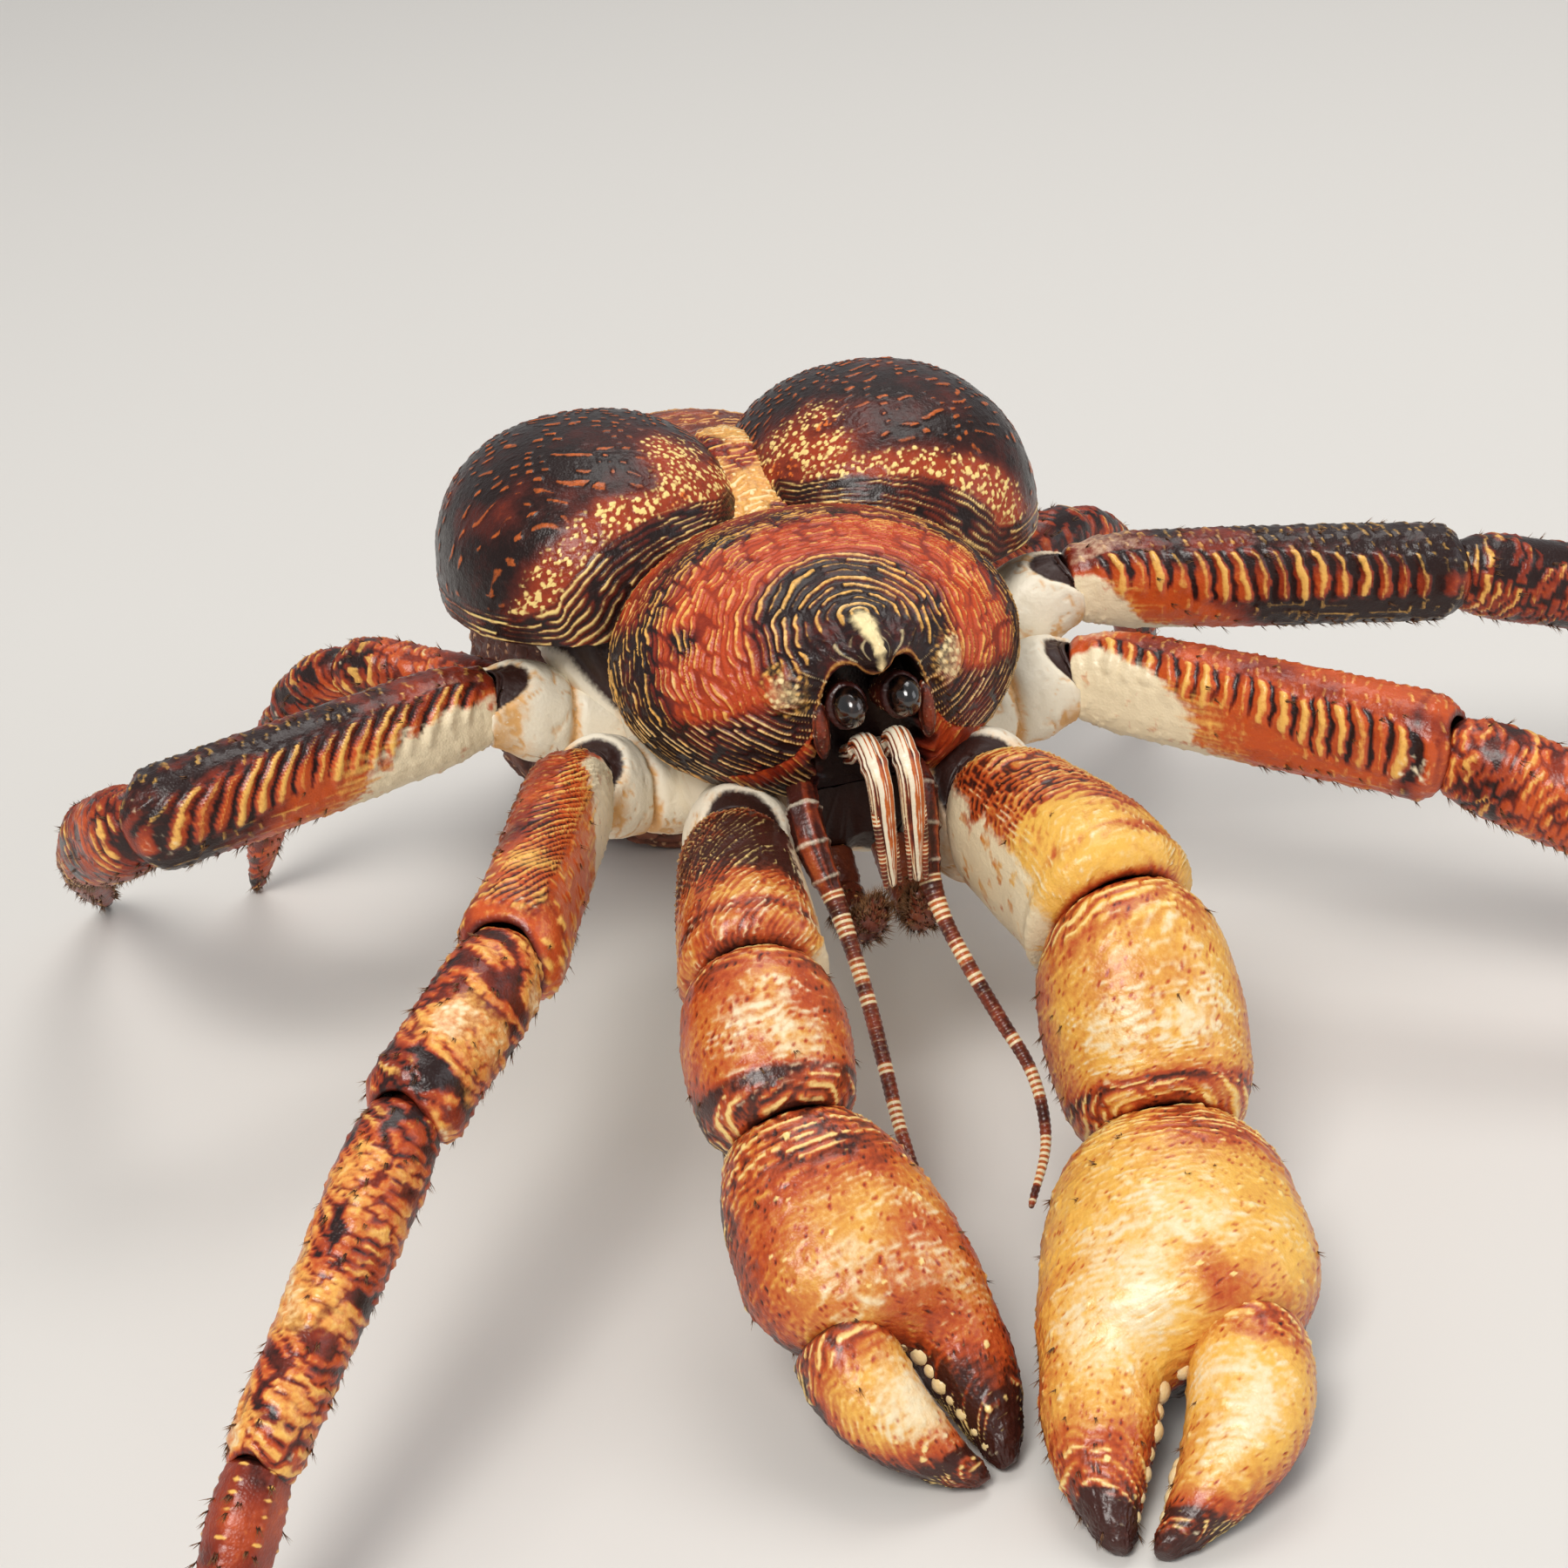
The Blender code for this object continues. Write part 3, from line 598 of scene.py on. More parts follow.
CLAW = ShellFinish(
    "claw shell", deep=(0.045, 0.01, 0.006), dark=(0.5, 0.07, 0.014), middle=(0.86, 0.48, 0.085),
    crest=(0.94, 0.68, 0.25), pale=(0.87, 0.74, 0.49), speck=(0.93, 0.6, 0.16),
    roughness=0.38, blotch_mm=14.0)
PLATE = ShellFinish(
    "back plate", deep=(0.035, 0.009, 0.007), dark=(0.15, 0.026, 0.012), middle=(0.38, 0.07, 0.02),
    crest=(0.8, 0.4, 0.12), pale=(0.85, 0.64, 0.36), speck=(0.5, 0.14, 0.04))
STALK = ShellFinish(
    "eyestalk shell", deep=(0.04, 0.008, 0.006), dark=(0.12, 0.02, 0.01), middle=(0.3, 0.045, 0.014),
    crest=(0.9, 0.62, 0.3), pale=(0.9, 0.7, 0.4), speck=(0.7, 0.35, 0.1))
FEELER = ShellFinish(
    "feeler shell", deep=(0.06, 0.012, 0.008), dark=(0.3, 0.045, 0.014), middle=(0.64, 0.16, 0.03),
    crest=(0.93, 0.78, 0.48), pale=(0.94, 0.84, 0.64), speck=(0.9, 0.56, 0.18),
    roughness=0.4, blotch_mm=4.0, speck_mm=0.7)
MOUTH = ShellFinish(
    "mouthpart shell", deep=(0.03, 0.008, 0.006), dark=(0.12, 0.024, 0.012), middle=(0.3, 0.07, 0.024),
    crest=(0.76, 0.4, 0.14), pale=(0.86, 0.68, 0.42), speck=(0.42, 0.14, 0.04))
# On the ivory skin the crest colour is near-black: there the crest mark paints shade into openings, folds,
# hollows and the insides of joints.
IVORY = SkinFinish(
    "ivory skin", base=(0.88, 0.8, 0.64), warm=(0.76, 0.42, 0.15), speck=(0.93, 0.87, 0.73),
    crest=(0.03, 0.009, 0.006), roughness=0.48, coat=0.12)
BELLY = SkinFinish(
    "belly skin", base=(0.085, 0.028, 0.019), warm=(0.27, 0.09, 0.048), speck=(0.4, 0.19, 0.1),
    crest=(0.56, 0.31, 0.165), roughness=0.52, wrinkle_mm=1.2, depth_mm=0.45)


def make_piece(name: str, finish: Finish, nodes: tuple[str, ...], points: Array,
               faces: list[Array], marks: dict[str, Array]) -> bpy.types.Object:
    """Make a smooth mesh from arrays, riding on the body and standing for its nodes.

    Args:
        name: Name of the object.
        finish: Its finish.
        nodes: The nodes that it replaces.
        points: Its points, in mm.
        faces: Arrays of faces, each with one number of corners.
        marks: Numbers of its points by name.

    Returns:
        The object, at the origin.
    """
    mesh = bpy.data.meshes.new(name)
    loops = np.concatenate([part.reshape(-1) for part in faces])
    sizes = np.concatenate([np.full(len(part), part.shape[1]) for part in faces])
    mesh.vertices.add(len(points))
    mesh.vertices.foreach_set("co", PLACE.world(points).astype(np.float32).reshape(-1))
    mesh.loops.add(len(loops))
    mesh.loops.foreach_set("vertex_index", loops.astype(np.int32))
    mesh.polygons.add(len(sizes))
    mesh.polygons.foreach_set("loop_start", (np.cumsum(sizes) - sizes).astype(np.int32))
    mesh.update(calc_edges=True)
    mesh.validate()
    for mark, values in marks.items():
        attribute = mesh.attributes.new(mark, "FLOAT", "POINT")
        attribute.data.foreach_set("value", np.clip(values, 0, 1).astype(np.float32))
    mesh.shade_smooth()
    mesh.materials.append(finish.material())
    item = bpy.data.objects.new(name, mesh)
    bpy.context.collection.objects.link(item)
    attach(item, BODY)
    if nodes:
        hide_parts(*nodes)
    LOG.info("%s: %d faces", name, len(mesh.polygons))
    return item


@dataclass
class Draft:
    """Closed tubes of points that are joined into one mesh."""

    points: list[Array] = field(default_factory=list)
    quads: list[Array] = field(default_factory=list)
    fans: list[Array] = field(default_factory=list)
    marks: dict[str, list[Array]] = field(default_factory=lambda: {mark: [] for mark in MARKS})
    count: int = 0

    def add(self, grid: Array, **marks: Array | float) -> "Draft":
        """Add a grid of rings, closed round and by a fan at each end, faces outwards.

        Args:
            grid: Rows of rings of points, in mm.
            **marks: Numbers of the grid's points, by the names in MARKS.

        Returns:
            The draft.
        """
        rows, count = grid.shape[:2]
        index = np.arange(rows * count).reshape(rows, count)
        after = np.roll(index, -1, axis=1)
        quads = np.stack([index[:-1], after[:-1], after[1:], index[1:]], axis=-1).reshape(-1, 4)
        ends = [np.full(count, rows * count), np.full(count, rows * count + 1)]
        fans = np.concatenate([
            np.stack([after[0], index[0], ends[0]], axis=1),
            np.stack([index[-1], after[-1], ends[1]], axis=1),
        ])
        points = np.concatenate([grid.reshape(-1, 3), grid[:1].mean(axis=1), grid[-1:].mean(axis=1)])
        corners = points[quads] - points[-1]
        halves = np.cross(corners[:, 0], corners[:, 1]) * corners[:, 2]
        halves = halves + np.cross(corners[:, 0], corners[:, 2]) * corners[:, 3]
        if halves.sum() < 0:
            quads, fans = quads[:, ::-1], fans[:, ::-1]
        self.points.append(points)
        self.quads.append(quads + self.count)
        self.fans.append(fans + self.count)
        self.count += len(points)
        for mark in MARKS:
            values = np.broadcast_to(marks.get(mark, 0.0), (rows, count))
            tips = [values[:1].mean(axis=1), values[-1:].mean(axis=1)]
            self.marks[mark].append(np.concatenate([values.reshape(-1), *tips]))
        return self

    def build(self, name: str, finish: Finish, slot: str, *nodes: str) -> None:
        """Make the piece, with its marks as attributes.

        Args:
            name: Name of the piece.
            finish: Its finish.
            slot: Not used.
            *nodes: The nodes that it replaces.
        """
        marks = {mark: np.concatenate(values) for mark, values in self.marks.items()}
        faces = [np.concatenate(self.quads), np.concatenate(self.fans)]
        make_piece(name, finish, nodes, np.concatenate(self.points), faces, marks)


@dataclass(frozen=True)
class Hair:
    """Sizes of a hair in mm, and how far it stands up and its tuft fans out, as shares."""

    length: float
    thickness: float
    stand: float
    spread: float


@dataclass
class Coat:
    """Stiff hairs in tufts, gathered over several surfaces into one mesh."""

    name: str
    slot: str
    tile_rows: int
    points: list[Array] = field(default_factory=list)
    places: list[Array] = field(default_factory=list)
    hairs_in_tuft: int = 5
    sides: int = 3
    patch: float = 0.0015

    def grow(self, grid: Array, chosen: Array, hair: Hair, lie: Array, seed: int) -> None:
        """Grow a tuft at each chosen point of a grid.

        A hair leaves along the lie, lifted by the stand along the normal, and each hair of
        a tuft is turned and lengthened by its own hashed numbers.

        Args:
            grid: The surface.
            chosen: True at the points that carry a tuft.
            hair: Sizes of the hairs.
            lie: Direction that the hairs follow, one for all points or one each.
            seed: Picks other hairs.
        """
        rows, columns = np.nonzero(chosen)
        if not len(rows):
            return
        normals = normals_of(grid)[rows, columns]
        lies = np.broadcast_to(lie, grid.shape)[rows, columns]
        lies = lies - normals * (lies * normals).sum(axis=1, keepdims=True)
        heads = unit(unit(lies) + normals * hair.stand)
        number = np.arange(len(rows) * self.hairs_in_tuft)
        chance = [hashed(seed, number, extra) for extra in range(5)]
        root, head, normal = (
            np.repeat(values, self.hairs_in_tuft, axis=0) for values in (grid[rows, columns], heads, normals))
        side = unit(np.cross(head, normal))
        other = np.cross(side, head)
        fan = (np.array(chance[:2]) - 0.5) * 2 * hair.spread
        way = unit(head + side * fan[0][:, None] + other * fan[1][:, None])
        root = root + side * ((chance[2] - 0.5) * hair.thickness * 3)[:, None] - way * 0.4
        long = (hair.length * (0.6 + 0.6 * chance[3]))[:, None]
        tip = root + way * long - UP * long * 0.06 * chance[4][:, None]
        angles = round_angles(self.sides)[None, :, None]
        ring = np.cos(angles) * side[:, None] + np.sin(angles) * other[:, None]
        base = root[:, None] + ring * hair.thickness / 2
        tile = len(self.points)
        self.points.append(above_floor(np.concatenate([base, tip[:, None]], axis=1)))
        across = (tile % self.tile_rows + 0.04 + 0.92 * columns / grid.shape[1]) / self.tile_rows
        up = (tile // self.tile_rows + 0.04 + 0.92 * rows / grid.shape[0]) / self.tile_rows
        self.places.append(np.repeat(np.stack([across, up], axis=1), self.hairs_in_tuft, axis=0))

    def build(self) -> None:
        """Make the hairs: each a closed thin cone, with its patch in the map OFBake."""
        hairs = np.concatenate(self.points)
        count, corners = hairs.shape[:2]
        start = np.arange(count)[:, None] * corners
        around = [np.array([side, (side + 1) % self.sides, self.sides]) for side in range(self.sides)]
        faces = np.concatenate([start + face for face in around] + [start + np.array([2, 1, 0])])
        tips = np.tile(np.arange(corners) == self.sides, count).astype(float)
        item = make_piece(
            self.name, BristleFinish(), (), hairs.reshape(-1, 3), [faces], {CREST: tips})
        corner_shift = np.array([[-1.0, -1.0], [1.0, -1.0], [0.0, 1.0], [0.0, 0.0]]) * self.patch
        spots = (np.concatenate(self.places)[:, None] + corner_shift).reshape(-1, 2)
        loops = np.zeros(len(item.data.loops), np.int32)
        item.data.loops.foreach_get("vertex_index", loops)
        layer = item.data.uv_layers.new(name="OFBake")
        layer.data.foreach_set("uv", spots[loops].astype(np.float32).reshape(-1))


@dataclass
class Shield:
    """Head shield: domed sections swept back at the sides, with a notch for the face."""

    floor: float = 74
    power: float = 2.15
    sweep: float = 13
    sweep_start: float = -60
    notch_half_width: float = 12
    notch_back: float = -57.5
    notch_top: float = 102.5
    notch_bottom: float = 60
    notch_power: float = 3.2
    brow_place: float = 7
    brow_width: float = 4.6
    brow_rise: float = 4.2
    keel_start: float = -64.5
    keel_height: float = 112
    coarse_pitch: float = 2.25
    fine_pitch: float = 1.4
    coarse_reach: float = 26
    rows: int = 230
    top_columns: int = 418
    under_columns: int = 12
    sections: tuple = (
        (SHIELD_TIP_Y, 1.2, 109.4, 106.6), (-72.5, 6, 111, 102.4), (-67, 17, 112.2, 80),
        (-60, 26, 113, 72), (-50, 34, 115.5, 68), (-36, 40.5, 117.5, 66),
        (-22, 42.5, 118, 66), (-9, 41, 116, 68), (3, 34, 111, 72))

    def section_at(self, y: Array) -> Array:
        """Half width, top and bottom of the section at each Y."""
        return split(along_table(self.sections, np.clip(y, SHIELD_TIP_Y, self.sections[-1][0])))

    def outside(self, points: Array) -> Array:
        """About how far points lie outside the shield, in mm; negative inside.

        A point's radius in its section's superellipse, less one, times the half width;
        or its distance behind the rear edge where that is more.

        Args:
            points: Points of any shape.

        Returns:
            One distance per point.
        """
        x, y, z = split(points)
        width, top, bottom = self.section_at(y)
        across = abs(x) / width
        rise = abs(z - (top + bottom) / 2) / ((top - bottom) / 2)
        radius = (across**self.power + rise**self.power) ** (1 / self.power)
        behind = y + self.sweep * np.clip(across, 0, 1.2) ** 2 - self.sections[-1][0]
        return most((radius - 1) * np.minimum(width, 22), behind)

    def grid(self) -> Array:
        """Sections read by chord length, each a superellipse cut flat at the floor.

        Returns:
            The smooth surface.
        """
        table = np.array(self.sections)
        marks = np.insert(np.cumsum(np.linalg.norm(np.diff(table[:, :3], axis=0), axis=1)), 0, 0)
        spans = np.linspace(0, marks[-1], self.rows)[:, None]
        y, width, top, bottom = split(along_table(tuple(np.column_stack([marks, table])), spans))
        upper = np.radians(np.linspace(-32, 212, self.top_columns))
        under = np.radians(np.linspace(212, 328, self.under_columns + 2)[1:-1])
        across, rise = oval(np.concatenate([upper, under]), self.power)
        back = np.clip((y - self.sweep_start) / (table[-1, 0] - self.sweep_start), 0, 1)
        z = (top + bottom) / 2 + rise * (top - bottom) / 2
        return np.stack([across * width, y - self.sweep * back * across**2, most(z, self.floor)], axis=-1)

    def rear_gap(self, grid: Array) -> Array:
        """Distance in front of the rear edge, in mm."""
        across = np.clip(abs(grid[..., 0]) / self.section_at(grid[..., 1])[0], 0, 1.2)
        return self.sections[-1][0] - grid[..., 1] - self.sweep * across**2

    def relief(self, grid: Array) -> tuple[Array, Array, Array, Array]:
        """Ridges in rings round the rostrum's keel, finer outside, with grains at the rear.

        Rows are counted by the distance from the keel's line, at a coarse pitch up to a
        reach and a fine pitch beyond it. Painted shade darkens the valleys and the front
        round the notch, and a painted highlight lies on the bulge beside each eye.

        Args:
            grid: The smooth surface.

        Returns:
            Height in mm, and the crest, pale and tone marks.
        """
        x, y, z = split(grid)
        side = abs(x)
        drop = z - self.keel_height
        distance = np.sqrt(x**2 + most(y - self.keel_start, 0) ** 2 + 0.9 * np.minimum(drop, 0) ** 2)
        bearing = np.arctan2(x, y - self.keel_start + 0.35 * drop - 2)
        wave = waves(grid, 12, 3, 3, 7) * ramp(4, 20, distance) + waves(grid, 2.4, 8, 1, 0.9)
        spread = distance + wave
        outer = most(spread - self.coarse_reach, 0)
        row = np.minimum(spread, self.coarse_reach) / self.coarse_pitch + outer / self.fine_pitch
        along = bearing * most(distance, 5)
        far = ramp(self.coarse_reach - 3, self.coarse_reach + 5, spread)
        lines = ridges(row, along, 1, 13, 0.98, steep=0.6, seed=2) * (1 - far)
        lines = lines + ridges(row, along, 1, 6.5, 0.9, 0.9, steep=0.62, seed=4) * far
        gap = self.rear_gap(grid)
        rear = ramp(26, 10, gap) * ramp(98, 106, z)
        rim = ridges(gap, x + 80, 1.5, 12, 1, seed=9) * ramp(7, 4.5, gap)
        lines = most(lines * (1 - 0.3 * rear), rim)
        reach = arc(grid, 1)
        edge = np.minimum(reach, abs(reach[:, [self.top_columns - 1]] - reach))
        hem = ramp(17, 12, edge + 0.8 * wave) * ramp(-26, -38, y) * (edge > 0.8)
        strands = ridges(0.78 * z - 0.62 * y + 0.2 * wave, 0.62 * z + 0.78 * y + 300, 1.35, 6.5, 0.95, 0.95,
                         steep=0.6, seed=18)
        # face: the front round the top of the notch; below, its tone goes to zero and its crest is halved as
        # painted shade of the orbit.
        face = ramp(-65, -69, y) * ramp(13, 9, side) * ramp(98, 104, z)
        # A bulge beside each eye that also carries a painted highlight: lighter tone, crest and pale marks.
        highlight_spot = bell(side, 16.4, 4.6) * bell(z, 100.5, 5.6) * (y < -50)
        bulge_highlight = ramp(0.3, 0.85, highlight_spot * (0.5 + noise(grid, 5, 19, 3)))
        lines = (lines * (1 - hem) + 0.9 * strands * hem) * (1 - 0.75 * face) * (1 - 0.75 * bulge_highlight)
        beads = granules(grid, 1.3, 0.5, 6)
        grains = granules(grid, 1.7, seed=7) * np.clip(rear + 0.8 * bulge_highlight, 0, 1)
        taper = 1 + 1.9 * ramp(SHIELD_TIP_Y, self.keel_start, y)
        keel = np.exp(-abs(x / taper) ** 1.6) * ramp(self.keel_start + 5, self.keel_start - 5, y)
        keel = keel * ramp(104, 108, z) * (0.8 + 0.4 * noise(grid, 1.6, 12))
        lines = most(lines, 0.8 * ridges(side * 1.3 - y, x + 40, 2.1, 3.2, 0.7, 0.6, seed=17) * face)
        groove = bell(side, 4.4, 1.7) * ramp(-62, -68, y)
        height = lines * (0.7 + 0.2 * beads) + 0.35 * grains + 1.15 * keel - 0.8 * groove + 1.1 * bulge_highlight
        crest = most(ramp(0.12, 0.75, lines) * (0.62 + 0.38 * beads), 0.8 * ramp(0.2, 0.8, grains),
                     0.8 * ramp(0.12, 0.5, highlight_spot) * (0.4 + 0.6 * beads))
        glow = noise(grid, 15, 14, 2)
        ring = ramp(17, 27, distance) * ramp(47, 38, distance + 5 * (glow - 0.5))
        tone = 0.06 + 0.85 * ring * ramp(0.12, 0.36, glow) + (0.15 + 0.8 * glow) * rear
        tone = (tone + 0.25 * ramp(0.5, 0.7, glow)) * (1 - 0.75 * hem) + 0.6 * bulge_highlight
        # Painted shade: the tone drops in the valley at the foot of each ridge, and more between the ridges
        # near the keel.
        tone = tone - 0.35 * ramp(0.12, 0, lines) * (1 - rear)
        tone = tone * (1 - 0.9 * ramp(0.5, 0, lines) * ramp(26, 14, distance)) * (1 - face)
        tint = ramp(0.45, 0.75, noise(grid, 7, 16, 2))
        pale = most(keel * 1.05, 0.75 * rim, 0.55 * tint * lines, 0.55 * grains * ramp(0.4, 0.6, glow),
                    bulge_highlight * (0.42 + 0.6 * beads), 0.6 * hem * strands)
        return height, crest * (1 - 0.5 * face), pale, np.clip(tone, 0, 1)

    def notched(self, base: Array, grid: Array) -> tuple[Array, Array, Array]:
        """Push the face's part of the surface back to the notch's rear wall.

        The notch is a superellipse whose upper edge rises over each eye.

        Args:
            base: The smooth surface, which says where the notch is.
            grid: The surface with its relief.

        Returns:
            The new surface, a rim mark that is 1 along the notch's edge, and how deep
            each point lies in the notch.
        """
        x, y, z = split(base)
        top = self.notch_top + self.brow_rise * bell(abs(x), self.brow_place, self.brow_width)
        across = abs(x) / self.notch_half_width
        rise = abs(z - (top + self.notch_bottom) / 2) / ((top - self.notch_bottom) / 2)
        radius = (across**self.notch_power + rise**self.notch_power) ** (1 / self.notch_power)
        front = y < self.notch_back
        depth = ramp(1, 0.93, radius) * front
        rim = bell(radius, 1.035, 0.03) * front
        moved = grid.copy()
        moved[..., 1] += (self.notch_back - grid[..., 1]) * depth
        return raised(moved, 0.4 * rim * (1 - depth)), rim, depth

    def build(self) -> None:
        """Make the shield."""
        base = self.grid()
        height, crest, pale, tone = self.relief(base)
        grid, rim, depth = self.notched(base, raised(base, height))
        # Inside the notch every mark falls to zero, which paints it the shell's deepest colour as painted
        # shade in the orbit.
        shell = 1 - ramp(0, 0.25, depth)
        Draft().add(grid, crest=most(crest, rim * 0.5) * shell, pale=pale * shell,
                    tone=most(tone * shell, 0.25 * rim)).build("shield_shell", HEAD, "head_shell", "shield")


@dataclass
class GillLobes:
    """The two swollen gill covers and the wedge between them."""

    shield: Shield
    centre: tuple[float, float, float] = (32.5, 27, 99)
    radii: tuple[float, float, float] = (34.5, 39, 31.5)
    power: float = 2.25
    floor: float = 95
    floor_slope: float = 0.2
    floor_bend: float = 18
    dome_rows: int = 165
    under_rows: int = 6
    columns: int = 486
    row_source: tuple[float, float, float] = (4, 84, 122)
    wedge: tuple = (
        (-6, 14, 109), (6, 13, 113), (20, 10, 119), (36, 7, 120.5),
        (50, 4.5, 115), (60, 3, 106))

    def underside(self, y: Array) -> Array:
        """Height of the flat underside, which drops behind the bend."""
        return self.floor - self.floor_slope * np.maximum(0, y - self.floor_bend)

    def lobe_grid(self, side: Side) -> Array:
        """Superellipsoid in polar directions from its top, cut flat at the underside.

        Args:
            side: Side of the body.

        Returns:
            The smooth surface.
        """
        down = np.radians(np.concatenate([
            np.linspace(1.5, 98, self.dome_rows), np.linspace(104, 176, self.under_rows)]))
        down, bearing = np.meshgrid(down, round_angles(self.columns, math.pi / 2), indexing="ij")
        heading = np.stack([np.sin(down) * np.cos(bearing), np.sin(down) * np.sin(bearing), np.cos(down)], -1)
        scaled = abs(heading / np.array(self.radii)) ** self.power
        points = heading * (scaled.sum(axis=-1) ** (-1 / self.power))[..., None]
        points = side.place(points + np.array(self.centre))
        points[..., 2] = most(points[..., 2], self.underside(points[..., 1]))
        return points

    def build_lobe(self, side: Side) -> None:
        """Make one lobe: rows of dashes that thicken to lines at its edges.

        The rows on the top are counted by the distance from a point behind and between
        the lobes, those of the edges by the distance from the rim or from the shield.

        Args:
            side: Side of the body.
        """
        grid = self.lobe_grid(side)
        depth, around = arc(grid, 0), arc(grid, 1)
        above_rim = depth[self.dome_rows - 1] - depth
        wave = waves(grid, 12, 21, 3, 6)
        apart = grid - side.place(self.row_source)
        span = np.linalg.norm(apart, axis=-1)
        sweep = np.arctan2(apart[..., 0] * side.value, -apart[..., 1]) * 60
        behind = self.shield.outside(grid)
        inner = ramp(31, 17, abs(grid[..., 0]) + wave) * ramp(30, 10, grid[..., 1])
        near = most(1 - abs(above_rim - behind) / 8, 0)
        margin = np.minimum(above_rim, behind) - 2 * near**2
        strew = waves(grid, 7, 34, 1, 9)
        scales = ridges(span + 1.2 * wave, sweep + strew, 2.6, 3.9, 0.56, 0.78, steep=0.66, seed=31)
        along_rim = ridges(depth + 1.2 * wave, around + strew, 2.6, 6.5, 0.6, 0.7, steep=0.66, seed=32)
        blend = ramp(0.93, 0.8, abs((normals_of(grid) * apart).sum(axis=-1)) / span)
        scales = scales * blend + along_rim * (1 - blend)
        fade = ramp(0.3, 0.62, noise(grid, 7, 35, 3))
        lines = ridges(margin + waves(grid, 3, 40, 1, 0.7), around, 1.25, 26, 1.05, seed=33)
        lines = lines * (0.5 + 0.5 * fade)
        forward = ramp(26, 4, grid[..., 1])
        band = ramp(7.5, 5, margin + 0.35 * wave)
        beads = granules(grid, 1.5, 0.5, 38)
        patch = most(inner, ramp(19, 10, behind + wave))
        grains = most(granules(grid, 1.15, 0.52, 39), granules(grid, 1.9, 0.45, 42)) * patch * (1 - band)
        top = (1 - band) * (1 - 0.6 * patch)
        height = most(0.34 * scales * top, 0.5 * lines * band) + 0.09 * beads + 0.3 * grains
        crest = most(0.68 * ramp(0.2, 0.58, scales) * top * (0.8 + 0.2 * beads),
                     ramp(0.15, 0.7, lines) * band * (0.6 + 0.4 * beads), 0.9 * ramp(0.15, 0.7, grains))
        glow = noise(grid, 9, 36, 3)
        tone = 0.75 * patch * (1 - band) + 0.9 * (glow - 0.43) + 0.35 * band * forward
        # Painted shade: the rim band darkens in the valleys between its lines.
        tone = tone - 0.5 * band * ramp(0.15, 0, lines)
        dense = ramp(0.3, 0.42, glow) * ramp(0.2, 0.6, patch)
        bright = 1.125 * lines * ramp(8, 5.5, margin) * forward
        pale = most(bright, 1.5 * grains * dense)
        Draft().add(raised(grid, height), crest=crest, pale=pale, tone=tone).build(
            f"gill_cover_{side.word}", LOBE, "lobe_shell", f"branchial_{side.word}")

    def build_wedge(self) -> None:
        """Make the wedge: a low arch across, with short cross ridges and grains."""
        y, half, top = stations(self.wedge, 150)
        share = np.linspace(1, -1, 90)
        upper = np.stack([share * half, y + 0 * share, top - 5 * abs(share) ** 3 * half / 14], -1)
        wall = np.linspace(0, 1, 12)[1:]
        drop = (upper[:, :1, 2] - self.underside(y)) * wall
        left = np.stack([upper[:, :1, 0] + 0 * wall, y + 0 * wall, upper[:, :1, 2] - drop], -1)
        grid = np.concatenate([upper, Side.RIGHT.place(left), left[:, ::-1]], axis=1)
        lines = ridges(grid[..., 1] + 1.4 * waves(grid, 7, 41, 2, 4), grid[..., 0] + 30, 1.8, 6, 0.85,
                       0.9, seed=43)
        rim = ramp(0.55, 1, abs(grid[..., 0]) / half)
        grains = granules(grid, 1.7, seed=45)
        glow = noise(grid, 9, 47, 2)
        crest = ramp(0.3, 0.85, most(lines, 0.7 * grains))
        light = ramp(0.35, 0.6, glow) * (1 - rim)
        # The tone drops at the wedge's edges, where it falls away between the lobes, and in the valleys
        # between its ridges: painted shade.
        Draft().add(
            raised(grid, 0.5 * lines + 0.35 * grains), crest=most(crest * (1 - 0.5 * rim), 0.62 * light),
            pale=1.15 * light * most(grains, 0.7 * lines),
            tone=0.25 + 0.7 * glow - 0.3 * rim - 0.3 * ramp(0.2, 0, lines),
        ).build("cardiac_wedge", HEAD, "lobe_shell", "cardiac")

    def build(self) -> None:
        """Make both lobes and the wedge."""
        for side in Side:
            self.build_lobe(side)
        self.build_wedge()


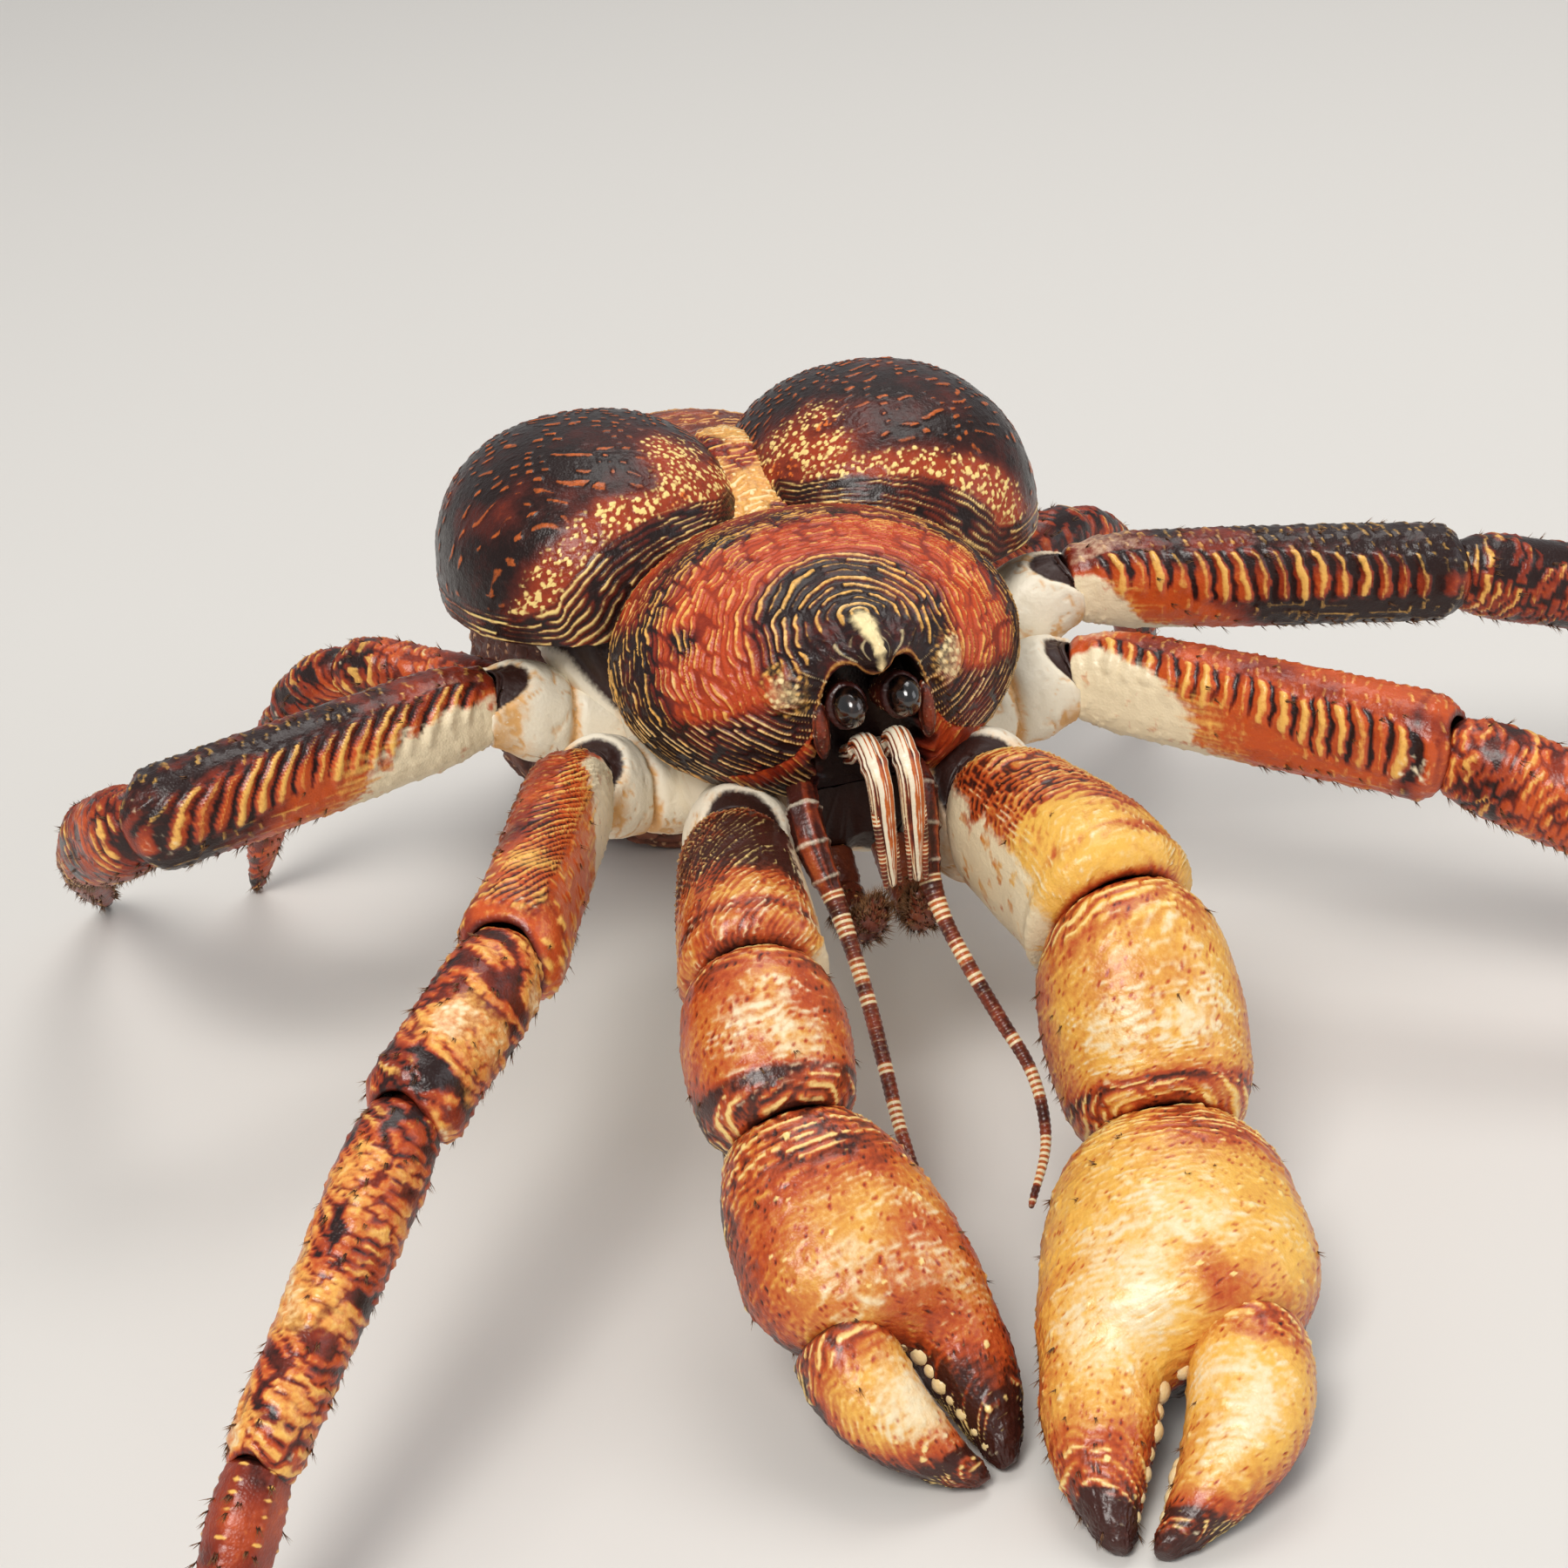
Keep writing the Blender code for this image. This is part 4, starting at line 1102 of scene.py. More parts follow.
@dataclass
class Trunk:
    """Ivory trunk that carries the legs, with folds between them."""

    top: float = 106
    lean_bottom: float = 70
    lobe_floor: float = 95
    power: float = 2.6
    rows: int = 160
    columns: int = 216
    folds: tuple[float, ...] = (-28, -6, 18, 39)
    roots: tuple[float, ...] = (-38, -18, 6, 30)
    sections: tuple = (
        (-55, 14, 60, 0), (-46, 23, 52, 0), (-32, 31, 46, 0),
        (-12, 36, 43, 0.15), (4, 38, 42, 0.48), (26, 38, 43, 0.55),
        (44, 34, 49, 0.5), (60, 24, 62, 0.3))

    def grid(self) -> Array:
        """Upright superellipses whose walls lean out under the lobes.

        Returns:
            The smooth surface.
        """
        y, half, bottom, lean = stations(self.sections, self.rows)
        across, rise = oval(round_angles(self.columns, math.pi / 2), self.power)
        z = (self.top + bottom) / 2 + rise * (self.top - bottom) / 2
        height = np.clip((z - self.lean_bottom) / (self.lobe_floor - self.lean_bottom), 0, 1)
        return np.stack([across * half * (1 + lean * height), y + 0 * z, z], axis=-1)

    def build(self) -> None:
        """Make the trunk: it swells round each leg's root, with folds between; painted shade darkens the
        folds, the grooves, the hollow under the lobes and the front under the face.
        """
        grid = self.grid()
        x, y, z = split(grid)
        wave = waves(grid, 12, 61, 3, 5)
        fold = np.clip(sum(bell(y + wave, place, 1.7) for place in self.folds), 0, 1)
        middle = bell(x, 0, 2.5) * (z < self.lean_bottom)
        flank = ramp(10, 24, abs(x))
        swell = sum(bell(y, place, 8) for place in self.roots) * bell(z, 68, 13)
        skin = waves(grid, 6, 63, 3, 1)
        crease = creases(grid * (1, 1, 0.5), 3.4, 65, 2, 0.9)
        beside = np.min([abs(y - place) for place in self.folds], axis=0)
        # under: a groove high on the flanks and at the rear under the lobes, sunk and painted near-black by
        # its crest mark as painted shade in the hollow.
        under = ramp(86, 91, z + wave * 0.4 + 2.6 * most(7 - beside, 0)) * flank * ramp(66, 72, z)
        under = most(under, ramp(44, 49, y) * ramp(80, 86, z))
        height = 2.2 * swell * flank - 2.2 * fold - 1.2 * middle + 0.8 * skin - 0.35 * crease - 3 * under
        # The tone warms and the crest mark blackens the folds, the middle groove, the creases and the hollow:
        # painted shade, in the folds partly also a darker membrane.
        tone = np.clip(0.8 * fold + 0.5 * middle + skin * 0.8 + 0.3 * crease + 0.4 * under, 0, 1)
        # mouth: the front under the face, painted near-black by its crest mark as painted shade under the
        # shield.
        mouth = ramp(-43, -49, y) * ramp(17, 12, abs(x) + wave)
        crest = most(0.65 * ramp(0.55, 0.95, fold), under, mouth)
        Draft().add(raised(grid, height), tone=tone, crest=crest).build(
            "trunk_skin", IVORY, "ivory_skin", "trunk")


@dataclass
class Abdomen:
    """Soft abdomen in one skin, with four back plates and a tail fan."""

    coat: Coat
    rows: int = 190
    columns: int = 300
    folds: tuple[float, ...] = (0.145, 0.305, 0.475, 0.655, 0.83, 0.9)
    skin_hair: Hair = Hair(2.2, 0.24, 0.9, 0.4)
    plate_spans: tuple = ((0.16, 0.29), (0.32, 0.46), (0.49, 0.64), (0.67, 0.81))
    plate_rows: int = 46
    plate_columns: int = 150
    plate_thickness: float = 2.2
    plate_lift: float = 1
    plate_reach: float = math.radians(64)
    fan_hair: Hair = Hair(3.4, 0.24, 0.5, 0.3)
    stations: tuple = (
        (0, 60.4, 83, 30, 19, 0), (0.14, 68, 74, 41, 31, 7),
        (0.32, 80, 62, 49, 44, 14), (0.52, 96, 48, 53, 51, 24),
        (0.72, 114, 35.5, 50, 46, 38), (0.88, 130, 25, 38, 31, 54),
        (0.97, 139, 19, 24, 18, 66), (1, 143, 16.5, 13, 9, 70))
    fan_sections: tuple = (
        (122, 10, 1, 8), (130, 18, 0, 13), (140, 22, 0, 16),
        (150, 21, 0, 16), (157, 16, 0, 13.5), (160, 9, 1.5, 10))

    def ring(self, shares: Array, angles: Array, lift: Array | float = 0) -> Array:
        """Points of the surface: ovals that tilt more and more towards the tail.

        Args:
            shares: Places along the abdomen, as a column.
            angles: Angles from the top, as a row.
            lift: Distance that is added to the radii, in mm.

        Returns:
            A grid of points, kept above the floor.
        """
        y, z, half, tall, tilt = split(along_table(self.stations, shares))
        lean = np.radians(tilt)
        rise = (tall + lift) * np.cos(angles)
        return above_floor(np.stack([
            (half + lift) * np.sin(angles), y + rise * np.sin(lean), z + rise * np.cos(lean)], axis=-1))

    def build_skin(self) -> None:
        """Make the soft skin, folded between the plates, with grains and short tufts."""
        shares = np.linspace(0, 1, self.rows)[:, None]
        angles = round_angles(self.columns, math.pi)
        base = self.ring(shares, angles)
        turn = abs(np.mod(angles + math.pi, TURN) - math.pi)[None, :]
        wave = waves(base, 14, 71, 3, 0.05)
        between = sum(bell(shares + wave, place, 0.013) for place in self.folds)
        crumple = most(creases(base * (1, 0.7, 1), 6, 73, 3, 0.84),
                       0.8 * creases(base * (0.35, 1, 1), 4, 74, 3, 0.8))
        side = most(ramp(0.8, 1.3, turn), ramp(0.8, 0.86, shares))
        grains = granules(base, 2.2, 0.48, 75) * (0.35 + 0.65 * side)
        fine = granules(base, 1.3, 0.5, 76)
        height = -2 * between * (1 - 0.2 * side) - 1.5 * crumple * (0.4 + 0.6 * side)
        height = (height + 0.75 * grains + 0.22 * fine - 0.5) * ramp(0, 4, base[..., 2])
        grid = above_floor(raised(base, height))
        crest = ramp(0.2, 0.65, grains) * ramp(0.25, 0.45, noise(base, 12, 77, 2))
        # Painted shade: the tone drops in the creases and in the folds between the plates.
        tone = 0.3 + 0.5 * ramp(1.6, 2.8, turn) + 0.3 * fine - 0.5 * crumple - 0.5 * between
        Draft().add(grid, crest=crest, tone=np.clip(tone, 0, 1)).build(
            "abdomen_skin", BELLY, "belly_skin", "abdomen")
        chosen = (chance_at(grid, 79) < 0.009 * side) & (grid[..., 2] > 3) & (grains > 0.2)
        self.coat.grow(grid, chosen, self.skin_hair, np.gradient(grid, axis=0), 78)

    def build_plate(self, number: int, start: float, end: float) -> None:
        """Make a back plate: an arched band with rounded edges and scaly ridges.

        Args:
            number: Its number, from the front.
            start: Where it starts, as a share of the abdomen.
            end: Where it ends.
        """
        reach = self.plate_reach * (1 - 0.06 * number)
        angles = np.linspace(-reach, reach, self.plate_columns)
        shares = np.linspace(start, end, self.plate_rows)[:, None]
        across = abs(angles / reach)
        along = abs(2 * (shares - start) / (end - start) - 1)
        middle = (start + end) / 2
        shares = middle + (shares - middle) * (1 - 0.6 * across**9)
        crown = np.sqrt(np.clip(1 - across**14, 0, 1)) * np.sqrt(np.clip(1 - along**10, 0, 1))
        outer = self.ring(shares, angles, self.plate_lift + self.plate_thickness * crown)
        inner = self.ring(shares[:, ::-1], angles[::-1], self.plate_lift - 0.4)
        wave = waves(outer, 9, 80, 3, 7)
        lines = ridges(shares * 120 + wave, outer[..., 0] + wave, 1.9, 5, 0.8, seed=81 + number)
        grains = granules(outer, 1.7, 0.5, 85)
        height = (0.5 * lines + 0.3 * grains) * crown
        outer = outer + unit(outer - inner[:, ::-1]) * height[..., None]
        inner = inner[:, ::7]
        edge = ramp(0.9, 0.5, crown) + 0.7 * ramp(0.55, 1, along) * (shares > middle)
        marks = {
            CREST: ramp(0.3, 0.85, most(lines, 0.8 * grains)),
            PALE: np.clip(edge, 0, 1) * (0.2 + 0.4 * grains),
            TONE: 0.55 + 0.12 * wave,
        }
        flat = np.zeros(inner.shape[:2])
        marks = {mark: np.concatenate([values, flat], axis=1) for mark, values in marks.items()}
        Draft().add(np.concatenate([outer, inner], axis=1), **marks).build(
            f"back_plate_{number}", PLATE, "back_plate", f"tergite_{number}")

    def build_fan(self) -> None:
        """Make the tail fan: a middle plate and a lobe on each side, parted by grooves."""
        y, half, bottom, top = stations(self.fan_sections, 90)
        across, rise = oval(round_angles(160, -math.pi / 2), 2.6)
        z = (top + bottom) / 2 + rise * (top - bottom) / 2
        grid = above_floor(np.stack([across * half, y + 0 * z, z], axis=-1))
        x, y, z = split(grid)
        outer_groove = bell(abs(x), 15.5 + 0.02 * (y - 140) ** 2, 0.7)
        groove = most(bell(abs(x), 7.5, 0.8), 0.45 * outer_groove)
        y -= 1.6 * groove * ramp(146, 156, y)
        grains = granules(grid, 1.5, 0.5, 92)
        lines = ridges(y + 0.05 * x**2, x + 50, 2, 4, 0.8, seed=91)
        plates = ridges(y + 0.03 * x**2 + 2, 0 * x + 100, 9, 400, 2, steep=0.88, seed=93)
        height = (0.45 * lines + 0.3 * grains - 1.3 * groove + 1.3 * plates) * ramp(1, 5, z)
        crest = ramp(0.3, 0.8, lines) * (0.4 + 0.6 * grains) + 0.7 * ramp(0.5, 0.85, plates) * grains
        # Painted shade: the tone drops in the grooves.
        tone = 0.35 + 0.2 * grains + 0.35 * plates - 0.7 * groove
        grid = raised(grid, height)
        chosen = (chance_at(grid, 95) < 0.3) & (grid[..., 1] > 148) & (grid[..., 2] > 2.5)
        self.coat.grow(grid, chosen, self.fan_hair, np.array([0, 1, 0.1]), 96)
        Draft().add(grid, crest=crest * (1 - groove), tone=tone).build(
            "tail_plates", PLATE, "back_plate", "tail_fan")

    def build(self) -> None:
        """Make the skin, the plates and the fan."""
        self.build_skin()
        for number, span in enumerate(self.plate_spans, start=1):
            self.build_plate(number, *span)
        self.build_fan()


WALKING_GIRTHS = (
    ((0, 0.84, 0.8), (0.35, 0.88, 0.88), (0.75, 0.84, 0.9), (1, 0.74, 0.82)),
    ((0, 0.64, 0.74), (0.09, 0.76, 0.92), (0.32, 0.8, 1.02), (0.62, 0.78, 1.04),
     (0.85, 0.8, 1.02), (0.95, 0.84, 0.98), (1, 0.7, 0.84)),
    ((0, 0.58, 0.66), (0.14, 0.72, 0.84), (0.42, 0.76, 0.9), (0.72, 0.74, 0.88),
     (0.92, 0.74, 0.84), (1, 0.6, 0.7)),
    ((0, 0.52, 0.58), (0.1, 0.64, 0.72), (0.38, 0.64, 0.74), (0.72, 0.57, 0.64),
     (0.93, 0.54, 0.6), (1, 0.46, 0.5)),
    ((0, 0.4, 0.44), (0.1, 0.48, 0.52), (0.42, 0.42, 0.45), (0.76, 0.28, 0.29),
     (0.94, 0.15, 0.15), (1, 0.08, 0.08)),
)
CLAW_GIRTHS = (
    ((0, 0.7, 0.78), (0.35, 0.74, 0.84), (0.75, 0.7, 0.84), (1, 0.6, 0.72)),
    ((0, 0.58, 0.66), (0.1, 0.72, 0.8), (0.35, 0.82, 0.9), (0.65, 0.88, 0.96),
     (0.88, 0.9, 0.98), (0.96, 0.88, 0.94), (1, 0.74, 0.8)),
    ((0, 0.68, 0.72), (0.12, 0.88, 0.9), (0.35, 1.02, 1), (0.65, 1.02, 1),
     (0.86, 0.92, 0.92), (1, 0.7, 0.74)),
    ((0, 0.66, 0.66, 0), (0.07, 0.94, 0.82, 0), (0.25, 1.26, 0.96, 0),
     (0.44, 1.32, 0.96, 0.04), (0.54, 1.14, 0.86, 0.22), (0.61, 0.72, 0.66, 0.58),
     (0.76, 0.54, 0.52, 0.64), (0.89, 0.36, 0.36, 0.5), (1, 0.1, 0.12, 0.28)),
    ((0.52, 0.5, 0.58, -0.66), (0.6, 0.58, 0.6, -0.7), (0.74, 0.54, 0.5, -0.7),
     (0.88, 0.36, 0.34, -0.48), (1, 0.1, 0.12, -0.14)),
)
SMALL_LEG_GIRTHS = (
    WALKING_GIRTHS[0],
    ((0, 0.7, 0.8), (0.12, 0.84, 1), (0.5, 0.9, 1.08), (0.88, 0.88, 1.04),
     (1, 0.7, 0.84)),
    ((0, 0.62, 0.72), (0.2, 0.8, 0.92), (0.7, 0.82, 0.96), (1, 0.66, 0.76)),
    ((0, 0.58, 0.66), (0.1, 0.74, 0.86), (0.3, 0.76, 0.9), (0.52, 0.66, 0.78),
     (0.78, 0.44, 0.5), (0.95, 0.22, 0.24), (1, 0.14, 0.14)),
)


class Pattern(Enum):
    """Relief of a limb part, as the name of the Dressing's method that works it out."""

    SMOOTH = "smooth"
    BARS = "bars"
    FINE_BARS = "fine_bars"
    ARCHES = "arches"
    PITTED = "pitted"
    HAND = "hand"
    TOE = "toe"


CLAW_HAIR = (Hair(2.4, 0.26, 0.9, 0.4), 0.0009, 0.012)
LIMB_HAIRS = {
    Pattern.BARS: (Hair(2.6, 0.24, 0.6, 0.35), 0.003, 0.02),
    Pattern.FINE_BARS: (Hair(2.6, 0.24, 0.7, 0.35), 0.01, 0.03),
    Pattern.ARCHES: CLAW_HAIR,
    Pattern.PITTED: CLAW_HAIR,
    Pattern.HAND: CLAW_HAIR,
    Pattern.TOE: (Hair(2.6, 0.28, 1, 0.35), 0, 0.07),
}


@dataclass(frozen=True)
class Part:
    """One part of a limb: its node, joints, girths, relief, finish and material slot.

    The spacing is that of the grid's points in mm, the power that of its superellipses.
    """

    word: str
    first: int
    last: int
    girths: tuple
    pattern: Pattern
    finish: Finish
    slot: str
    spacing: float = 0.61
    power: float = 2.2

    @property
    def has_neck(self) -> bool:
        """Whether its root goes into the part before."""
        return self.first > 0 and self.word != "finger"

    @property
    def has_mouth(self) -> bool:
        """Whether another part goes on from its end."""
        return self.pattern not in (Pattern.HAND, Pattern.TOE) and self.word != "pincer"


def turned(turns: Array, middle: float) -> Array:
    """Turns counted from a middle, from minus to plus half a turn."""
    return np.mod(turns - middle + math.pi, TURN) - math.pi


@dataclass
class LimbSkin:
    """Surface of one limb part before its relief, with the directions on it."""

    grid: Array
    along: Array
    share: Array
    turn: Array
    around: Array
    hidden: Array
    length: float

    def directions(self) -> tuple[Array, ...]:
        """Grid, length along, share of it, turn and length round, at each point."""
        return self.grid, self.along, self.share, self.turn, self.around


@dataclass(frozen=True)
class Limb:
    """One limb: yaws count from straight ahead, pitches from level, lengths in mm.

    The markings follow its own turns: 0 is the side that faces forwards, or inwards where
    the limb itself points forwards, and a quarter turn is the top.
    """

    name: str
    side: Side
    root: tuple[float, float, float]
    lengths: tuple[float, ...]
    yaws: tuple[float, ...]
    pitches: tuple[float, ...]
    bends: tuple[float, ...]
    girth: float
    toe_height: float = 0.4
    band_start: float = 0.8
    band_end: float = 0.3
    slant: float = 1
    bar_pitch: float = 4.4
    lean: float = 0
    # A tone shift per limb: painted light and shade, darker on limbs that lie in shade and lighter on lit
    # ones.
    shade: float = 0
    rim_reach: float = 1.6
    root_reach: float = 0.42
    # A lightening of the outer parts of a lit limb: painted light.
    glow: float = 0
    lip: float = 1.5

    @property
    def marks(self) -> Array:
        """Length from the root to each joint."""
        return np.insert(np.cumsum(self.lengths), 0, 0)

    def joints(self) -> Array:
        """Places of the joints; the last part slopes down to the toe height.

        Returns:
            One point per row.
        """
        points = [self.side.place(self.root)]
        for index, (length, yaw) in enumerate(zip(self.lengths, self.yaws)):
            turn = math.radians(yaw)
            slope = (math.radians(self.pitches[index]) if index < len(self.pitches)
                     else math.asin((self.toe_height - points[-1][2]) / length))
            flat = length * math.cos(slope)
            step = (flat * math.sin(turn), -flat * math.cos(turn), length * math.sin(slope))
            points.append(points[-1] + self.side.place(step))
        return np.array(points)

    def path(self, places: Array) -> tuple[Array, Array]:
        """Points at lengths from the root, on curves that round each joint.

        Args:
            places: Lengths from the root.

        Returns:
            The points, and the limb's directions there.
        """
        joints = self.joints()
        heads = unit(np.diff(joints, axis=0))
        part = np.clip(np.searchsorted(self.marks, places, side="right") - 1, 0, len(heads) - 1)
        points = joints[part] + heads[part] * (places - self.marks[part])[:, None]
        directions = heads[part].copy()
        for index, reach in enumerate(self.bends, start=1):
            near = abs(places - self.marks[index]) < reach
            share = ((places[near] - self.marks[index] + reach) / (2 * reach))[:, None]
            start = joints[index] - reach * heads[index - 1]
            end = joints[index] + reach * heads[index]
            points[near] = (1 - share) ** 2 * start + 2 * share * (1 - share) * joints[index] + share**2 * end
            directions[near] = (1 - share) * heads[index - 1] + share * heads[index]
        return points, unit(directions)

    def stages(self, part: Part, length: float) -> tuple[Array, Array, Array]:
        """Rings of a part: its neck, its body with rolled ends, and its mouth.

        Over the lip at each end the radius follows a quarter circle. A neck goes back into
        the part before. Past the far lip the rings turn back inside, as a mouth for the
        next part's neck.

        Args:
            part: The part.
            length: Its length, in mm.

        Returns:
            Place of each ring, share of its full radius, and 1 where it is hidden.
        """
        body = np.linspace(0, length, max(24, int(length / part.spacing)))
        rolled = self.lip * (1 - np.cos(np.linspace(0, math.pi / 2, 7)[1:-1]))
        body = np.unique(np.concatenate([body, rolled, length - rolled]))
        end = np.clip(np.minimum(body, length - body) / self.lip, 0, 1)
        lowest = np.where(body < length / 2, 0.78, 0.88 if part.has_mouth else 0.74)
        rings = [(body, lowest + (1 - lowest) * np.sqrt(1 - (1 - end) ** 2), 0 * body)]
        if part.has_neck:
            rings.insert(0, (np.linspace(-3.5, -0.3, 5), np.linspace(0.64, 0.72, 5), np.ones(5)))
        if part.has_mouth:
            rings.append((length - np.linspace(0.2, 4.2, 7), np.linspace(0.84, 0.72, 7), np.ones(7)))
        return tuple(map(np.concatenate, zip(*rings)))

    def skin(self, part: Part) -> LimbSkin:
        """Surface of one part between two joints: superellipses round the limb's path.

        The mouth's rim waves: it reaches out at the two sides and less above and below.

        Args:
            part: The part.

        Returns:
            The surface.
        """
        first = part.girths[0][0]
        low = self.marks[part.first] + first * (self.marks[part.last] - self.marks[part.first])
        length = self.marks[part.last] - low
        inside, roll, hidden = self.stages(part, length)
        table = along_table(part.girths, np.clip(first + inside / length * (1 - first), first, 1))
        points, heads = self.path(low + inside)
        widest = max(row[1] for row in part.girths) * self.girth
        left = self.side is Side.LEFT
        columns = max(24, int(TURN * widest / part.spacing))
        angles = round_angles(columns, math.radians(-130) if left else math.radians(-50))
        across, rise = oval(angles, part.power)
        turn = turned(angles if left else math.pi - angles, 0)
        sides = unit(np.cross(heads, UP))
        tops = np.cross(sides, heads)
        offset = table[:, 2] if table.shape[1] > 2 else np.zeros(len(table))
        centre = points + sides * (self.side.value * self.girth * offset)[:, None]
        wide = (across * (table[:, :1] * self.girth * roll[:, None]))[..., None] * sides[:, None]
        tall = (rise * (table[:, 1:2] * self.girth * roll[:, None]))[..., None] * tops[:, None]
        grid = centre[:, None] + wide + tall
        if part.has_mouth:
            reach = self.rim_reach * (0.6 + 0.8 * np.cos(2 * turn))
            grid = grid + heads[:, None] * (reach * ramp(length - 9, length - 1, inside)[:, None])[..., None]
        around = turn * ((table[:, :1] + table[:, 1:2]) / 2 * self.girth)
        along, hidden, turn = np.broadcast_arrays(np.clip(inside, 0, length)[:, None], hidden[:, None], turn)
        return LimbSkin(above_floor(grid), along, along / length, turn, around, hidden, length)


@dataclass
class Dressing:
    """Height in mm and the three marks of a limb part, by its pattern and its limb's markings."""

    limb: Limb
    skin: LimbSkin
    pattern: Pattern
    seed: int
    height: Array = field(init=False)
    crest: Array = field(init=False)
    pale: Array = field(init=False)
    tone: Array = field(init=False)

    def __post_init__(self) -> None:
        """Work out the pattern, with beaded collars at both ends of a shell."""
        getattr(self, self.pattern.value)()
        skin = self.skin
        gap = skin.length - skin.along
        bare = self.pattern is Pattern.SMOOTH
        if not bare:
            collar = bell(gap, 3.4, 1.2) + 0.5 * bell(skin.along, 2.6, 1)
            beads = granules(skin.grid, 1.5, 0.5, self.seed + 90)
            self.height = self.height + collar * (0.35 + 0.3 * beads)
            self.pale = most(self.pale, collar * (0.15 + 0.5 * beads))
            # Painted shade: the tone drops just before the end where the next part goes in.
            self.tone = self.tone - 0.35 * bell(gap, 6, 1.2)
        # Inside a mouth or neck the marks fall to zero, and on ivory the crest mark rises to one, which
        # paints the inside of the joint dark as painted shade.
        shell = (1 - skin.hidden) * ramp(0, 1.6, np.minimum(skin.along, gap + 0.5))
        self.height = self.height * shell * ramp(0, 2, skin.grid[..., 2])
        self.tone = np.clip(self.tone, 0, 1) * shell
        self.pale = self.pale * shell
        self.crest = most(self.crest, skin.hidden) if bare else self.crest * shell

    def smooth(self) -> None:
        """Ivory leg base: two swellings with a slanting fold between, and fine wrinkles; painted shade
        darkens the opening at its end, the fold and the lower side.
        """
        grid, along, share, turn, around = self.skin.directions()
        swell = waves(grid, 10, self.seed, 3, 1)
        line = share - 0.52 - 0.07 * np.cos(turned(turn, 1.2)) + 0.1 * swell
        fold = bell(line, 0, 0.035)
        swollen = bell(line, 0.24, 0.15) + 0.8 * bell(line, -0.24, 0.15)
        crease = creases(grid * (1, 1, 0.6), 3.2, self.seed + 2, 2, 0.9)
        near = ramp(0.72, 0.98, share)
        fine = ridges(along + swell * 3, around, 1.5, 4, 0.7, 0.75 * near, seed=self.seed)
        off = turned(turn, 1.2) / 1.15
        arch = most(1 - off**2, 0.02) * (6.2 + 5 * swell)
        # gap: the opening at the end for the next part, sunk and painted near-black by its crest mark as
        # painted shade.
        gap = ramp(1.15, 0.75, (self.skin.length - along) / arch) * (abs(off) < 1)
        pores = pits(grid, 1.6, self.seed + 4)
        # under: the lower side, warmed by the tone as painted shade.
        under = ramp(0.2, -0.9, np.sin(turn))
        height = 1.3 * swollen - 1.7 * fold + 0.7 * swell + 0.2 * fine - 0.35 * crease
        self.height = height - 1.5 * gap - 0.1 * pores
        self.crest = most(gap, 0.45 * ramp(0.55, 1, fold))
        self.pale = 0 * swell
        self.tone = 0.75 * fold + 0.45 * near + 0.45 * crease + 1.1 * swell + 0.25 * pores + 0.45 * under

    def bars(self) -> None:
        """Upper walking leg: a band of crescent bars that drifts round the leg.

        The band's middle runs from one turn at the root to another at the knee. Above it
        the shell is smooth with a row of small scales on top, below it pale at the root.
        Painted shade darkens the valleys, the lower and rear sides and the limbs that lie in
        shade, and painted light brightens a lit limb.
        """
        grid, along, share, turn, around = self.skin.directions()
        limb, seed, far = self.limb, self.seed, self.limb.root_reach
        wave = waves(grid, 12, seed, 2, 3)
        off = turned(turn, 0) - (limb.band_start + (limb.band_end - limb.band_start) * share) - 0.08 * wave
        across = along + wave + waves(grid, 1.8, seed + 1, 1, 1.2) + limb.slant * 5 * off + 4.5 * off**2
        band = ramp(0.62, 0.38, abs(off)) * ramp(0.04, 0.12, share) * ramp(1, 0.93, share)
        own = hashed(seed + 2, np.floor(across / limb.bar_pitch).astype(np.int64))
        band = band * ramp(0.6, 0.4, abs(off) * (0.75 + 0.5 * own))
        big = ridges(across, around * 0 + 30, limb.bar_pitch, 60, 2, steep=0.58, seed=seed) * band
        beads = granules(grid, 1.35, 0.5, seed + 6)
        away = 1 - ramp(0.3, 0.75, band)
        scales = ridges(along + wave + 2 * off**2, around, 2.5, 4.2, 0.66, 0.7, seed=seed + 3) * away
        tops = ridges(along + wave * 0.5, around, 2.8, 4.6, 0.8, 0.85, seed=seed + 4)
        tops = tops * bell(turned(turn, 1.55), 0, 0.32) * away
        lower = ramp(-0.25, -0.6, off) * ramp(-2.2, -1.6, turn)
        lower = lower * ramp(0.35, 0.6, share)
        lines = ridges(around + wave, along, 2.1, 11, 0.8, 0.7, seed=seed + 5) * lower
        glow = noise(grid, 11, seed + 8, 3)
        near = share + 0.12 * off + 0.22 * (glow - 0.5)
        patchy = waves(grid, 5, seed + 9, 3, 1)
        root = ramp(-2.4, -1.6, turn) * ramp(0.3, -0.4, off + 0.06 * wave + 0.7 * patchy)
        strands = ridges(around + 0.5 * wave, along, 1.3, 12, 0.95, 0.9, seed=seed + 7)
